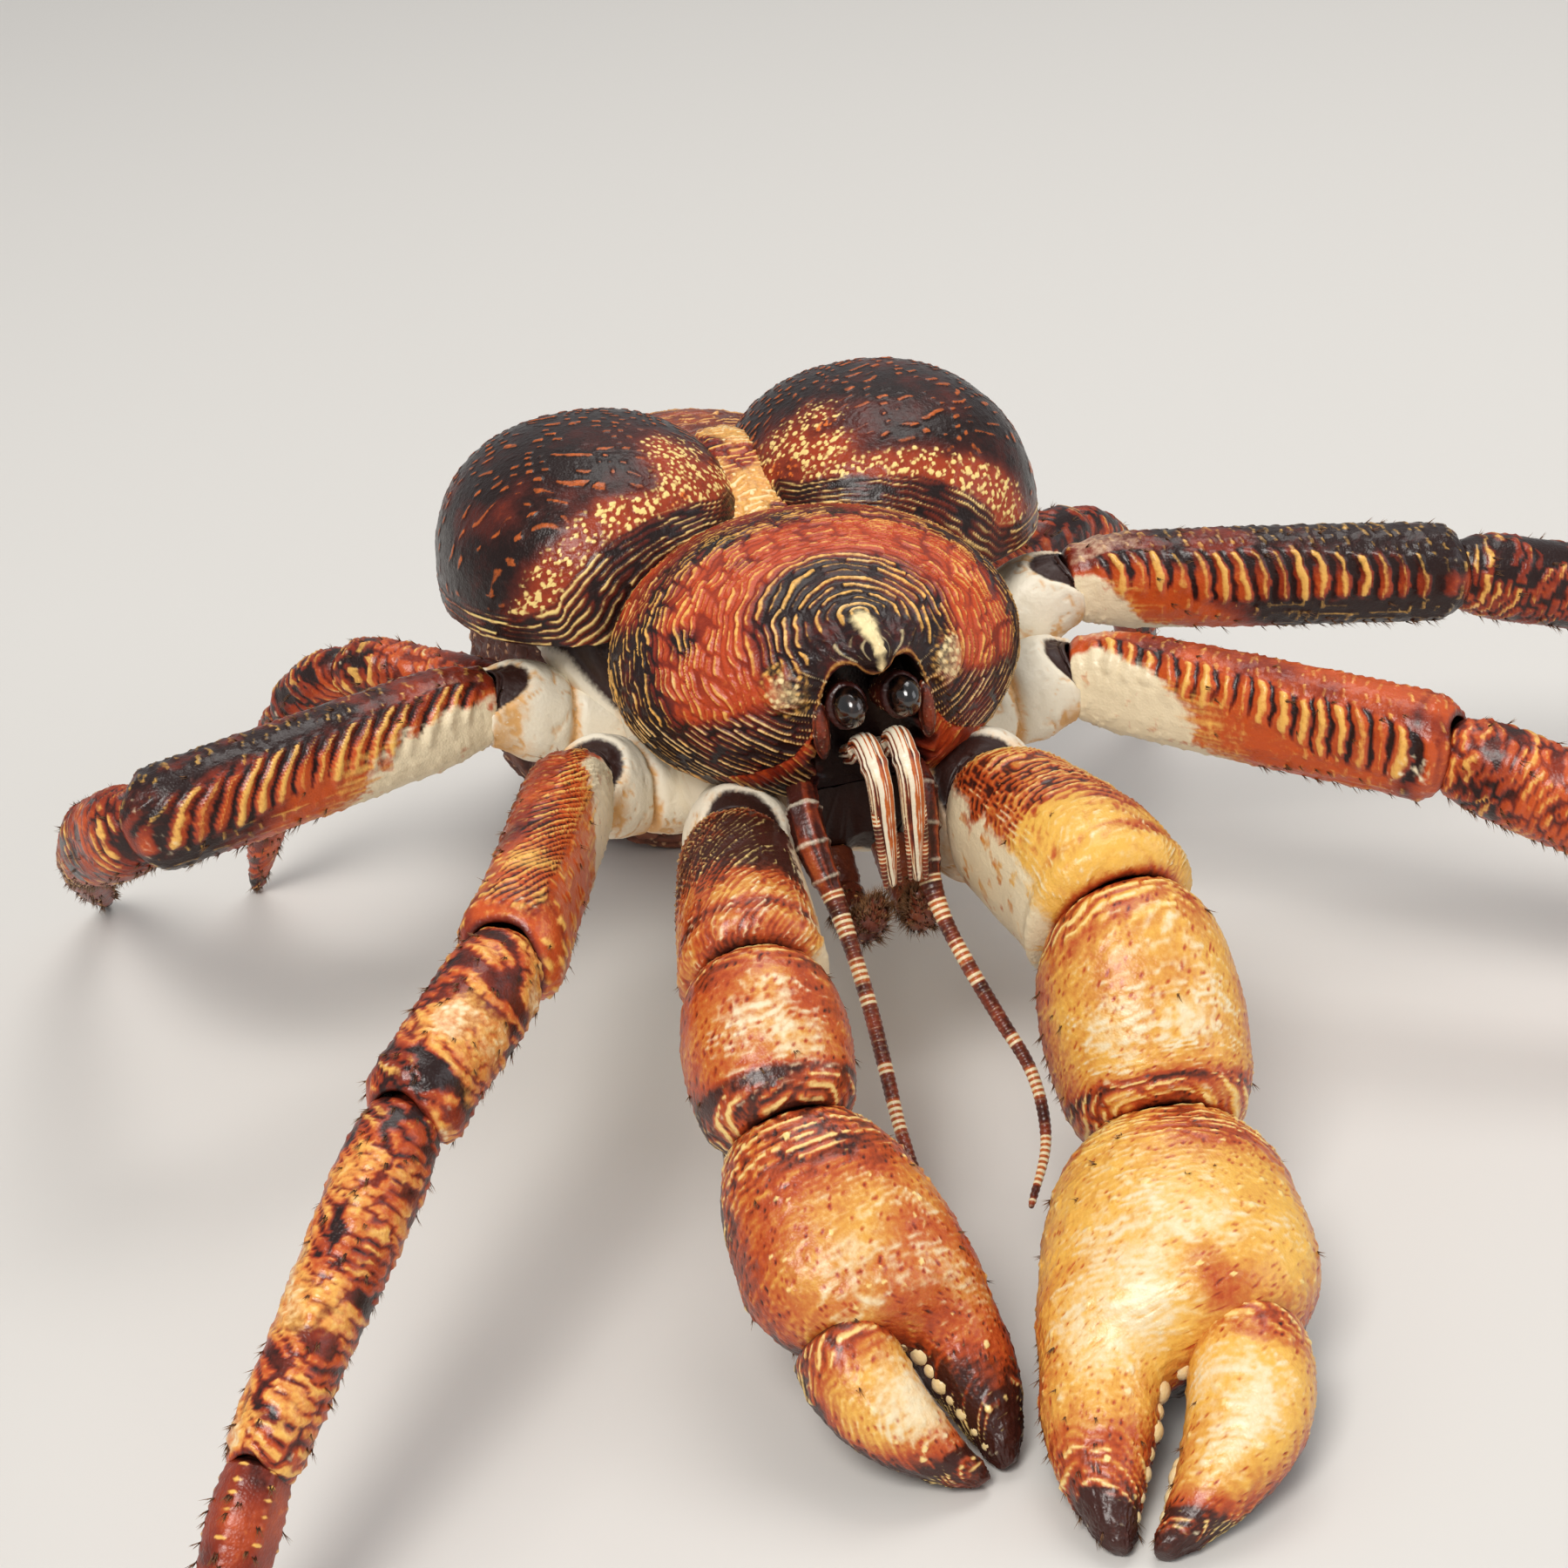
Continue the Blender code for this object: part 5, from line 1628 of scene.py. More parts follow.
        # lit: painted light on a lit limb, stronger towards the knee.
        lit = limb.glow * ramp(0.5, 0.85, share + 0.3 * patchy)
        height = 0.28 * limb.bar_pitch * big + 0.42 * scales + 0.5 * tops + 0.25 * lines + 0.1 * beads
        self.height = height + 0.16 * strands * root * ramp(0.6, 0.3, near)
        self.crest = most(
            ramp(0.22, 0.75, big) * (0.5 + 0.5 * ramp(0.25, 0.6, own + 0.35)) * (0.72 + 0.28 * beads),
            0.68 * ramp(0.15, 0.6, most(scales, tops)) * (0.6 + 0.4 * beads), 0.6 * lines,
            (0.32 + 0.4 * strands) * root * ramp(far + 0.18, far - 0.08, near),
            lit * (0.3 + 0.75 * most(big, scales) + 0.6 * patchy))
        warmth = root * ramp(far + 0.33, far, near)
        root = root * ramp(far, 0.4 * far, near) - 0.35 * strands * ramp(0.25 * far, 0.7 * far, near)
        # Painted shade in the valleys between the bars.
        valley_shade = band * (1 - ramp(0, 0.22, big))
        shadow = ramp(0.35, 0.7, off) * ramp(1.4, 0.8, off) * ramp(0.3, 0.7, share)
        # Painted shade lowers the tone in the valleys, on the lower side, below the band on limbs in shade
        # and on the rear side; painted light raises it on a lit limb.
        tone = 0.62 + (glow - 0.5) + limb.shade * ramp(-0.2, 0.3, off)
        tone = tone - 1.25 * valley_shade - 0.35 * shadow - 0.6 * ramp(-1.2, -1.7, turn)
        tone = tone + 1.6 * min(limb.shade, 0) * ramp(-0.3, -0.6, off) * ramp(far, far + 0.25, near)
        self.tone = tone - 0.35 * ramp(2, 2.6, abs(turn)) + 0.9 * warmth + 0.5 * lit
        warm = ramp(0.5, 0.72, glow) * ramp(0.5, 0.1, share) * ramp(0.2, 0.5, off)
        spots = ramp(0.56, 0.74, noise(grid, 2.6, seed + 11, 3))
        knee = bell(share, 0.94, 0.06) * ramp(0.4, -0.3, off) * (1 + limb.shade)
        self.pale = most((1.1 - 0.55 * spots) * root, 0.42 * warm * (1 - band),
                         knee * (0.25 + 0.9 * beads) * ramp(0.38, 0.55, glow))

    def fine_bars(self) -> None:
        """Lower walking leg: closer, shorter bars all round and beads, with painted shade in the valleys and
        painted light on a lit limb.
        """
        grid, along, _, turn, around = self.skin.directions()
        seed, shine = self.seed, self.limb.glow
        off = turned(turn, 0.7)
        across = along + waves(grid, 9, seed, 3, 6) + 1.6 * off**2 + waves(grid, 1.7, seed + 3, 1, 1.3)
        strewn = around + waves(grid, 5, seed + 1, 1, 9)
        bars = ridges(across, strewn, 2.5, 9, 0.82, 0.88, steep=0.6, seed=seed)
        upper = ramp(2.2, 1.3, abs(off))
        beads = granules(grid, 1.3, 0.5, seed + 2)
        glow = noise(grid, 11, seed + 5, 3)
        pick = ramp(0.3, 0.7, noise(grid, 6, seed + 7))
        # Painted shade in the valleys between the bars, and painted light on a lit limb.
        valley_shade = ramp(0.16, 0, bars) * upper
        lit = shine * ramp(0.3, 0.62, glow) * (1 - 0.75 * valley_shade * ramp(0.7, 0.5, glow))
        self.height = 0.62 * bars * (0.5 + 0.5 * upper) + 0.13 * beads
        self.crest = most(ramp(0.12, 0.65, bars) * (0.28 + 0.62 * pick) * (0.7 + 0.3 * beads),
                          lit * (0.62 + 0.4 * beads - 0.35 * (1 - upper)))
        self.pale = most(0.55 * ramp(0.5, 0.7, glow) * upper * bars * pick,
                         lit * ramp(0.52, 0.72, glow) * (0.45 + 0.5 * beads))
        self.tone = 0.7 + (glow - 0.5) - 0.55 * valley_shade + 0.6 * self.limb.shade + 0.35 * lit

    def arches(self) -> None:
        """Upper claw limb: close ridges in nested arches with painted shade between them, smooth and pale on
        the inner side.
        """
        grid, along, share, turn, around = self.skin.directions()
        limb, seed = self.limb, self.seed
        wave = waves(grid, 12, seed, 3, 6)
        off = turned(turn, limb.band_start)
        arched = along - limb.slant * off**2 + limb.lean * off + wave + waves(grid, 2, seed, 1, 0.8)
        lines = ridges(arched, around, 2.2, 12, 0.98, steep=0.6, seed=seed)
        small = ridges(arched * 1.02 + 0.8, around, 1.35, 5, 0.9, 0.85, seed=seed + 2)
        side = abs(turned(turn, -0.25)) + 0.05 * wave + 0.35 * share
        inner = ramp(1.25, 0.74, side + waves(grid, 6, seed + 6, 3, 0.5))
        hem = bell(side, 1.25, 0.28)
        strands = ridges(around + 0.6 * wave, along, 1.25, 14, 0.95, 0.9, seed=seed + 4)
        beads = granules(grid, 1.3, 0.5, seed + 3)
        glow = noise(grid, 13, seed + 5, 3)
        end = ramp(0.55, 0.85, share + 0.3 * (glow - 0.5))
        lines = most(lines * (1 - 0.45 * end), 0.85 * small * end)
        lines = lines * (1 - 0.95 * inner) * (1 - 0.8 * hem) + 0.8 * strands * hem
        self.height = lines * (0.75 + 0.2 * beads) + 0.07 * beads + 0.1 * strands * inner
        self.crest = ramp(0.1, 0.7, lines) * (0.55 + 0.45 * beads) * (0.6 + 0.6 * glow)
        tone = 0.56 + (glow - 0.5) + 0.35 * end + limb.shade
        # Painted shade: the tone drops between the ridges, and in the middle of a limb that lies in shade.
        tone = tone - 0.6 * ramp(0.3, 0, lines) * (1 - inner) * (1 - 0.5 * end)
        self.tone = tone + 1.2 * min(limb.shade, 0) * bell(share, 0.55, 0.2) * bell(off, 0.1, 0.6)
        spots = ramp(0.56, 0.74, noise(grid, 2.6, seed + 8, 3))
        bright = (0.95 - 0.25 * strands - 0.45 * spots) * inner
        self.pale = most(bright, 0.8 * end * lines, 0.6 * hem * strands)

    def pitted(self) -> None:
        """Claw wrist: a painted highlight on top, fine pits and beads, arched wrinkles at both ends, and
        painted shade underneath and between the ridges.
        """
        grid, along, share, turn, around = self.skin.directions()
        seed = self.seed
        wave = waves(grid, 12, seed, 3, 7)
        off = turned(turn, 1.5)
        arched = along - 2.5 * off**2 + wave
        ends = ramp(0.3, 0.08, share) + ramp(0.72, 0.92, share)
        ends = np.clip(ends + 0.5 * ramp(1, 1.8, abs(off)), 0, 1)
        lines = ridges(arched, around, 1.9, 9, 0.9, 0.35 + 0.6 * ends, seed=seed) * (0.25 + 0.75 * ends)
        holes = pits(grid, 1.05, seed + 1)
        faint = ridges(arched + 0.4 * wave, around, 1.5, 7, 0.9, 0.8, seed=seed + 3)
        beads = granules(grid, 1.4, 0.5, seed + 2)
        glow = noise(grid, 16, seed + 5, 3)
        # lit: a painted highlight along the top.
        lit = ramp(1.6, 0.3, abs(off)) * bell(share, 0.52, 0.36)
        self.height = 0.42 * lines + 0.16 * beads - 0.22 * holes + 0.22 * faint
        self.crest = most(0.85 * ramp(0.2, 0.8, lines), 0.5 * beads)
        pale = 0.7 * lit + 1.1 * (glow - 0.55) + waves(grid, 1.1, seed + 6, 1, 0.4) - 0.22 * holes
        self.pale = np.clip(pale + 0.45 * (faint - 0.25), 0, 0.9)
        # Painted shade: the tone drops between the faint ridges except where lit, on the lower side and in
        # the valleys at both ends.
        tone = 0.92 + 0.7 * (glow - 0.5) - 0.45 * holes - 0.32 * (1 - faint) * (1 - 0.7 * lit)
        tone = tone - 0.55 * ramp(1.5, 2.3, abs(off))
        self.tone = tone - 0.35 * ends * ramp(0.4, 0, lines) + 0.5 * self.limb.shade

    def hand(self) -> None:
        """Claw hand and finger: the wrist's relief with its painted light and shade, coarse grains, redder
        outwards, dark horny tips.
        """
        self.pitted()
        grid, share = self.skin.grid, self.skin.share
        coarse = granules(grid, 3.2, 0.34, self.seed + 7) * (noise(grid, 9, self.seed) > 0.4)
        tip = ramp(0.88, 0.97, share)
        outer = ramp(0.52, 0.8, share)
        self.height = self.height + 0.5 * coarse * (1 - tip)
        self.crest = most(self.crest, ramp(0.3, 0.9, coarse)) * (1 - tip)
        self.pale = (0.72 * self.pale * (1 - 0.4 * outer) + 0.3 * coarse * outer) * (1 - tip)
        self.tone = (self.tone - 0.25 * outer) * (1 - 0.95 * tip)

    def toe(self) -> None:
        """Last part of a walking leg: rows of small teeth and a dark horny tip."""
        grid, along, share, turn, around = self.skin.directions()
        keel = bell(np.mod(turn * 6 / TURN, 1), 0.5, 0.22)
        teeth = ridges(along, around * 0 + 1, 2.2, 4, 2, steep=0.6, seed=self.seed) * keel
        beads = granules(grid, 1.2, 0.5, self.seed + 2)
        tip = ramp(0.86, 0.97, share)
        self.height = (0.3 * keel + 0.45 * teeth + 0.12 * beads) * ramp(1, 0.7, share)
        self.crest = ramp(0.3, 0.8, teeth) * (1 - tip)
        self.pale = 0 * keel
        self.tone = (0.5 + waves(grid, 8, self.seed + 5, 3, 0.9)) * (1 - tip) - 0.25 * share


def ball(rows: int, columns: int, end: float) -> tuple[Array, Array]:
    """Rings of a unit ball round Z, from one small angle to a pole to the other, and their angles."""
    down, bearing = np.meshgrid(np.linspace(end, math.pi - end, rows), round_angles(columns), indexing="ij")
    return np.stack([np.sin(down) * np.cos(bearing), np.sin(down) * np.sin(bearing), np.cos(down)], -1), down


@dataclass
class Limbs:
    """All claws and legs."""

    coat: Coat
    claws: tuple[Limb, ...] = (
        Limb("claw_left", Side.LEFT, (21, -38, 59), (29, 51, 44, 47, 42),
             (7, 7, -6, -20, -33), (13, 0, -54, -13), (9, 16, 16, 14), 18.2, 1.8,
             band_start=1.45, slant=10, shade=0.12, rim_reach=0.7),
        Limb("claw_right", Side.RIGHT, (20, -38, 58), (28, 48, 31, 40, 32),
             (20, 12, 9, -13, -26), (17, -2, -37, -36), (9, 13, 13, 12), 15, 1.5,
             band_start=1.3, slant=4, lean=-18, shade=-0.3, rim_reach=0.7),
    )
    walkers: tuple[Limb, ...] = (
        Limb("leg2_left", Side.LEFT, (26, -18, 62), (35, 84, 41, 63, 54),
             (90, 45.5, 48, 49, 52), (13, -5.5, -20, -19), (12, 13, 11, 9), 11,
             band_start=1.05, band_end=0.05, slant=0.3, shade=0.1, glow=0.35),
        Limb("leg2_right", Side.RIGHT, (26, -18, 62), (32, 86, 40, 65, 54),
             (67, 20, 42, 40, 39), (20, 4.6, -15, -29), (12, 13, 11, 9), 11,
             band_start=1, band_end=1.35, slant=-3.8, bar_pitch=3.1, glow=0.85),
        Limb("leg3_left", Side.LEFT, (28, 6, 64), (44, 86, 41, 62, 60),
             (84, 74, 78, 86, 90), (25, -4, -15, -21), (10, 13, 11, 9), 10.5,
             band_start=0.45, band_end=0.2, slant=0.6, shade=-0.45, root_reach=0.16),
        Limb("leg3_right", Side.RIGHT, (28, 6, 64), (40, 82, 41, 62, 56),
             (87, 72.5, 168, 176, 184), (25, -1, -26, -27), (10, 16, 11, 9), 10.5,
             band_start=0.55, band_end=0.15, slant=1.6, shade=-0.35),
    )
    small_legs: tuple[Limb, ...] = (
        Limb("leg4_left", Side.LEFT, (26, 30, 62), (27.5, 45, 24, 66),
             (107, 119, 127, 145), (8, 7.5, -35), (6, 8, 8), 7),
        Limb("leg4_right", Side.RIGHT, (26, 30, 62), (27.5, 43, 24, 66),
             (107, 125, 135, 155), (8, 8, -35), (6, 8, 8), 7),
    )
    claw_parts: tuple[Part, ...] = (
        Part("base", 0, 1, CLAW_GIRTHS[0], Pattern.SMOOTH, IVORY, "ivory_skin"),
        Part("merus", 1, 2, CLAW_GIRTHS[1], Pattern.ARCHES, CLAW, "claw_shell"),
        Part("carpus", 2, 3, CLAW_GIRTHS[2], Pattern.PITTED, CLAW, "claw_shell"),
        Part("hand", 3, 5, CLAW_GIRTHS[3], Pattern.HAND, CLAW, "claw_shell"),
        Part("finger", 3, 5, CLAW_GIRTHS[4], Pattern.HAND, CLAW, "claw_shell"),
    )
    walking_parts: tuple[Part, ...] = (
        Part("base", 0, 1, WALKING_GIRTHS[0], Pattern.SMOOTH, IVORY, "ivory_skin"),
        Part("merus", 1, 2, WALKING_GIRTHS[1], Pattern.BARS, LEG, "leg_shell", 0.49, 2.5),
        Part("carpus", 2, 3, WALKING_GIRTHS[2], Pattern.FINE_BARS, LEG, "leg_shell"),
        Part("propodus", 3, 4, WALKING_GIRTHS[3], Pattern.FINE_BARS, LEG, "leg_shell"),
        Part("toe", 4, 5, WALKING_GIRTHS[4], Pattern.TOE, LEG, "leg_shell"),
    )
    small_parts: tuple[Part, ...] = (
        Part("base", 0, 1, SMALL_LEG_GIRTHS[0], Pattern.SMOOTH, IVORY, "ivory_skin"),
        Part("merus", 1, 2, SMALL_LEG_GIRTHS[1], Pattern.FINE_BARS, LEG, "leg_shell"),
        Part("carpus", 2, 3, SMALL_LEG_GIRTHS[2], Pattern.FINE_BARS, LEG, "leg_shell"),
        Part("pincer", 3, 4, SMALL_LEG_GIRTHS[3], Pattern.FINE_BARS, LEG, "leg_shell"),
    )

    def teeth(self, skin: LimbSkin, inner: float, count: int, size: float) -> list[Array]:
        """Blunt teeth along the gripping edge of a finger, each a small closed dome.

        Args:
            skin: The finger's surface.
            inner: Turn of the gripping edge, in radians.
            count: How many teeth.
            size: Radius of the largest, in mm.

        Returns:
            Their grids.
        """
        column = int(np.argmin(abs(skin.turn[0] - inner)))
        normals = normals_of(skin.grid)
        dome = ball(10, 14, 0.1)[0]
        grids = []
        for number, share in enumerate(np.linspace(0.62, 0.93, count)):
            row = int(np.argmin(abs(skin.share[:, 0] - share)))
            radius = size * (1 - 0.6 * number / count) * (1 if number % 2 else 0.75)
            grids.append(skin.grid[row, column] - normals[row, column] * radius * 0.55 + dome * radius)
        return grids

    def hairs(self, part: Part, dressing: Dressing, grid: Array, seed: int) -> None:
        """Grow the tufts of one part, which lie towards its tip.

        They stand on the teeth of a toe, on a leg's lower side and on a claw's inner side.

        Args:
            part: The part.
            dressing: Its marks and smooth surface.
            grid: Its surface with the relief.
            seed: Picks other tufts.
        """
        skin = dressing.skin
        clear = (skin.grid[..., 2] > 1) & (skin.along > 2.5) & (skin.along < skin.length - 1.5)
        clear = clear & (dressing.pale < 0.5) & (skin.hidden < 0.5)
        hair, everywhere, more = LIMB_HAIRS[part.pattern]
        if part.pattern is Pattern.TOE:
            place = bell(np.mod(skin.turn * 6 / TURN, 1), 0.5, 0.2) * (skin.share < 0.86)
        elif part.pattern in (Pattern.BARS, Pattern.FINE_BARS):
            place = ramp(-0.4, -1.2, skin.turn) * ramp(-2.9, -2.3, skin.turn)
        else:
            place = bell(skin.turn, -0.6, 0.7)
        chosen = clear & (chance_at(grid, seed) < everywhere + more * place)
        self.coat.grow(grid, chosen, hair, np.gradient(grid, axis=0), seed)

    def build_limb(self, limb: Limb, parts: tuple[Part, ...], seed: int) -> None:
        """Make one limb, part by part, with each neck set into the mouth of the part before.

        Args:
            limb: The limb.
            parts: Its parts, from the root.
            seed: Picks other dashes, grains and hairs.
        """
        for number, part in enumerate(parts):
            skin = limb.skin(part)
            dressing = Dressing(limb, skin, part.pattern, seed + 10 * number)
            grid = above_floor(raised(skin.grid, dressing.height))
            draft = Draft().add(grid, crest=dressing.crest, pale=dressing.pale, tone=dressing.tone)
            if part.pattern is Pattern.HAND:
                inner = 0 if part.word == "finger" else math.pi
                for tooth in self.teeth(skin, inner, 8, limb.girth * 0.17):
                    draft.add(tooth, pale=0.5, crest=0.9, tone=0.9)
            name = f"{limb.name}_{part.word}"
            draft.build(f"{name}_shell", part.finish, part.slot, name)
            if part.pattern in LIMB_HAIRS:
                self.hairs(part, dressing, grid, seed + number)

    def build(self) -> None:
        """Make every claw, walking leg and small leg."""
        groups = ((self.claws, self.claw_parts, 200), (self.walkers, self.walking_parts, 400),
                  (self.small_legs, self.small_parts, 900))
        for limbs, parts, seed in groups:
            for number, limb in enumerate(limbs):
                self.build_limb(limb, parts, seed + 100 * number)


@dataclass
class Face:
    """Eyes on their stalks, feelers and mouthparts."""

    coat: Coat
    stalk_path: tuple = ((4.8, -59, 93.2), (5.4, -65.5, 95.4), (5.6, -71.4, 96.6))
    stalk_radii: tuple = (3.3, 4.4, 4.5)
    eye_centre: tuple = (5.6, -71.8, 96.8)
    eye_radii: tuple = (3.3, 5, 4.1)
    antennule_path: tuple = (
        (3.2, -59, 81), (3.4, -67, 84.5), (3.4, -73.5, 88.6), (3.2, -79, 85),
        (3, -80.4, 74), (2.6, -80.8, 61))
    antennule_radii: tuple = (2.2, 2.4, 2.6, 2.6, 2.3, 0.9)
    strands: tuple = (((1.5, -0.6, 0), 0.95), ((-1.5, -0.2, 0.4), 0.75))
    antenna_left_path: tuple = (
        (9, -61, 77), (8.6, -67, 74), (6.6, -74, 66), (6, -77.6, 59.6),
        (6.6, -83, 53), (8.5, -91, 45.5), (11.5, -99, 37), (14, -108, 29.5),
        (12, -120, 21.5), (4, -132, 15))
    antenna_right_path: tuple = (
        (14, -61, 77.5), (15.6, -67.5, 74.5), (15.6, -74, 67.5), (14.4, -78, 61.5),
        (13.6, -86, 53), (13.4, -94, 44.5), (14, -104, 35), (15, -115, 26.5),
        (14.6, -127, 19), (11, -138, 13))
    antenna_radii: tuple = (3, 3.4, 3.2, 2.3, 1.6, 1.5, 1.4, 1.2, 1, 0.6)
    scale_centre: tuple = (10.9, -68.6, 91.8)
    scale_radii: tuple = (1.6, 2.4, 6.2)
    maxilliped_path: tuple = (
        (6, -50, 56), (6.6, -59, 49), (6.2, -68, 47), (5, -73.5, 51),
        (4, -75, 56.5))
    maxilliped_radii: tuple = (4, 4.2, 3.6, 2.8, 1.4)
    mouth_hair: Hair = Hair(3.4, 0.22, 0.8, 0.4)

    @staticmethod
    def tube(path: tuple | Array, radii: tuple, side: Side, rows: int, columns: int,
             spread: float = 1) -> tuple[Array, Array]:
        """Round tube along a smooth curve through a path's points, with rounded ends.

        Args:
            path: Points of the left one, in mm.
            radii: Radius at each point.
            side: Side of the body.
            rows: Rings along it.
            columns: Points round it.
            spread: How much wider than tall it is.

        Returns:
            The grid, and the length from its start at each point of it.
        """
        knots = side.place(path)
        marks = np.insert(np.cumsum(np.linalg.norm(np.diff(knots, axis=0), axis=1)), 0, 0)
        places = np.linspace(0, marks[-1], rows)
        values = along_table(tuple(np.column_stack([marks, knots, radii])), places)
        centre, radius = values[:, :3], most(values[:, 3:4], 0.25)
        heads = unit(np.gradient(centre, axis=0))
        level = np.array([-1, 0, 0])
        sides = unit(level - heads * (heads @ level)[:, None])
        tops = np.cross(sides, heads)
        angles = round_angles(columns)
        end = np.minimum(places, marks[-1] - places) / 1.2
        cap = np.where(end < 1, np.sqrt(np.clip(1 - (1 - end) ** 2, 0.02, 1)), 1)[:, None]
        ring = (np.cos(angles) * radius * cap * spread)[..., None] * sides[:, None]
        ring = ring + (np.sin(angles) * radius * cap)[..., None] * tops[:, None]
        return centre[:, None] + ring, np.broadcast_to(places[:, None], ring.shape[:2])

    @staticmethod
    def ellipsoid(centre: Array, radii: tuple, rows: int, columns: int) -> tuple[Array, Array]:
        """Ball stretched to three radii, with its poles along Y, and its angles from the front pole."""
        points, down = ball(rows, columns, 0.06)
        return centre + points[..., [0, 2, 1]] * (1, -1, 1) * np.array(radii), down

    @staticmethod
    def streaks(grid: Array, along: Array, count: float, seed: int) -> Array:
        """Long thin streaks: noise of the bearing round a tube, slow along it."""
        turn = round_angles(grid.shape[1]) + 0.02 * np.sin(along * 0.9)
        return noise(np.stack([np.cos(turn) * count, np.sin(turn) * count, along * 0.03], -1), 1, seed, 2)

    @staticmethod
    def bands(along: Array, size: float, seed: int) -> Array:
        """Uneven rings round a tube, 1 in them and 0 between: noise of the length alone."""
        return ramp(0.4, 0.6, noise(np.stack([along, along * 0, along * 0], -1), size, seed))

    def build_eyes(self, side: Side) -> None:
        """Make an eye and its speckled stalk.

        Args:
            side: Side of the body.
        """
        Draft().add(self.ellipsoid(side.place(self.eye_centre), self.eye_radii, 44, 60)[0]).build(
            f"cornea_{side.word}", EyeFinish(), "eye_cornea", f"eye_{side.word}")
        grid, along = self.tube(self.stalk_path, self.stalk_radii, side, 70, 90, 0.85)
        grains = granules(grid, 1, 0.5, 111)
        back = 1 - ramp(9.5, 12.2, along)
        grid = raised(grid, 0.25 * grains + 0.3 * bell(along, 11.4, 0.7))
        draft = Draft().add(grid, crest=ramp(0.35, 0.8, grains) * back, tone=0.45 * back,
                            pale=0.6 * ramp(0.6, 0.9, grains) * back)
        draft.build(f"stalk_{side.word}", STALK, "eyestalk_shell", f"eyestalk_{side.word}")

    def build_antennule(self, side: Side) -> None:
        """Make an antennule: a streaked stem that folds down into two ringed strands.

        Args:
            side: Side of the body.
        """
        grid, along = self.tube(self.antennule_path, self.antennule_radii, side, 250, 58)
        streak = self.streaks(grid, along, 4.2, 121)
        fine = self.streaks(grid, along, 9, 122)
        joint = bell(along, 12.5, 0.7) + bell(along, 21.5, 0.8)
        hollow = ramp(0.46, 0.36, streak)
        draft = Draft().add(
            raised(grid, 0.35 * joint - 0.45 * hollow - 0.12 * ramp(0.45, 0.35, fine)),
            crest=0.75 * ramp(0.42, 0.56, fine) * (1 - hollow),
            pale=1.1 * ramp(0.42, 0.56, streak) * ramp(0.38, 0.5, fine),
            tone=0.05 + 0.75 * ramp(0.34, 0.5, streak) - 0.3 * joint)
        for shift, radius in self.strands:
            path = np.array(self.antennule_path[3:]) + shift
            strand, reach = self.tube(path, (radius, radius, radius * 0.5), side, 150, 14)
            ring = 0.5 + 0.5 * np.cos(reach * TURN / 0.9)
            band = self.bands(reach, 2.2, 123)
            draft.add(raised(strand, 0.09 * ring), crest=ring * (0.5 + 0.5 * band),
                      pale=0.6 * ring * band, tone=0.25 + 0.5 * band)
        draft.build(f"small_feeler_{side.word}", FEELER, "feeler", f"antennule_{side.word}")

    def build_antenna(self, side: Side) -> None:
        """Make a long feeler: a jointed stem, a ringed whip and the scale beside the eye.

        Args:
            side: Side of the body.
        """
        path = self.antenna_left_path if side is Side.LEFT else self.antenna_right_path
        grid, along = self.tube(path, self.antenna_radii, side, 480, 32)
        whip = ramp(22, 26, along)
        ring = 0.5 + 0.5 * np.cos(along * TURN / 1.3)
        joint = bell(along, 7, 0.7) + bell(along, 14.5, 0.8) + bell(along, 21.5, 0.7)
        grains = granules(grid, 1.1, 0.5, 131)
        streak = self.streaks(grid, along, 2.4, 132)
        stem = (1 - whip) * (0.45 * joint + 0.22 * grains - 0.5 * ramp(0.45, 0.35, streak))
        grid = raised(grid, 0.13 * ring * whip + stem)
        crest = ring * whip + ramp(0.4, 0.9, grains) * ramp(0.42, 0.6, streak) * (1 - whip)
        band = self.bands(along, 2.8, 133)
        draft = Draft().add(
            grid, crest=crest * (0.35 + 0.65 * band),
            pale=0.4 * ring * whip * band + 0.5 * joint * (1 - whip),
            tone=whip * (0.2 + 0.5 * band) + (1 - whip) * (0.05 + 0.5 * ramp(0.4, 0.6, streak)))
        scale, opening = self.ellipsoid(side.place(self.scale_centre), self.scale_radii, 46, 60)
        ring = bell(opening, 1.25, 0.16) + 0.6 * bell(opening, 0.75, 0.1)
        specks = granules(scale, 0.9, 0.5, 135)
        draft.add(raised(scale, 0.15 * specks + 0.2 * ring), crest=0.55 * specks,
                  pale=ring * (0.25 + 0.6 * specks), tone=0.25 - 0.25 * bell(opening, 1, 0.12))
        draft.build(f"long_feeler_{side.word}", FEELER, "feeler", f"antenna_{side.word}")

    def build_mouthpart(self, side: Side) -> None:
        """Make an outer mouthpart, with a brush of hairs at its end.

        Args:
            side: Side of the body.
        """
        grid, along = self.tube(self.maxilliped_path, self.maxilliped_radii, side, 120, 60)
        joint = bell(along, 9, 0.9) + bell(along, 18.5, 0.9) + bell(along, 26, 0.8)
        grains = granules(grid, 1.4, seed=141)
        grid = raised(grid, 0.25 * grains - 0.5 * joint)
        Draft().add(grid, crest=ramp(0.4, 0.9, grains), tone=0.2 + 0.7 * noise(grid, 6, 143, 2)).build(
            f"mouthpart_{side.word}", MOUTH, "mouthpart", f"maxilliped_{side.word}")
        chosen = (along > 12) & (chance_at(grid, 145) < 0.06)
        self.coat.grow(grid, chosen, self.mouth_hair, np.gradient(grid, axis=0), 147 + side.value)

    def build(self) -> None:
        """Make all of the face, both sides of each kind in turn."""
        for make in (self.build_eyes, self.build_antennule, self.build_antenna, self.build_mouthpart):
            for side in Side:
                make(side)


class LampKind(Enum):
    """Kind of a light, by the renderer's own word."""

    SQUARE = "AREA"
    SUN = "SUN"


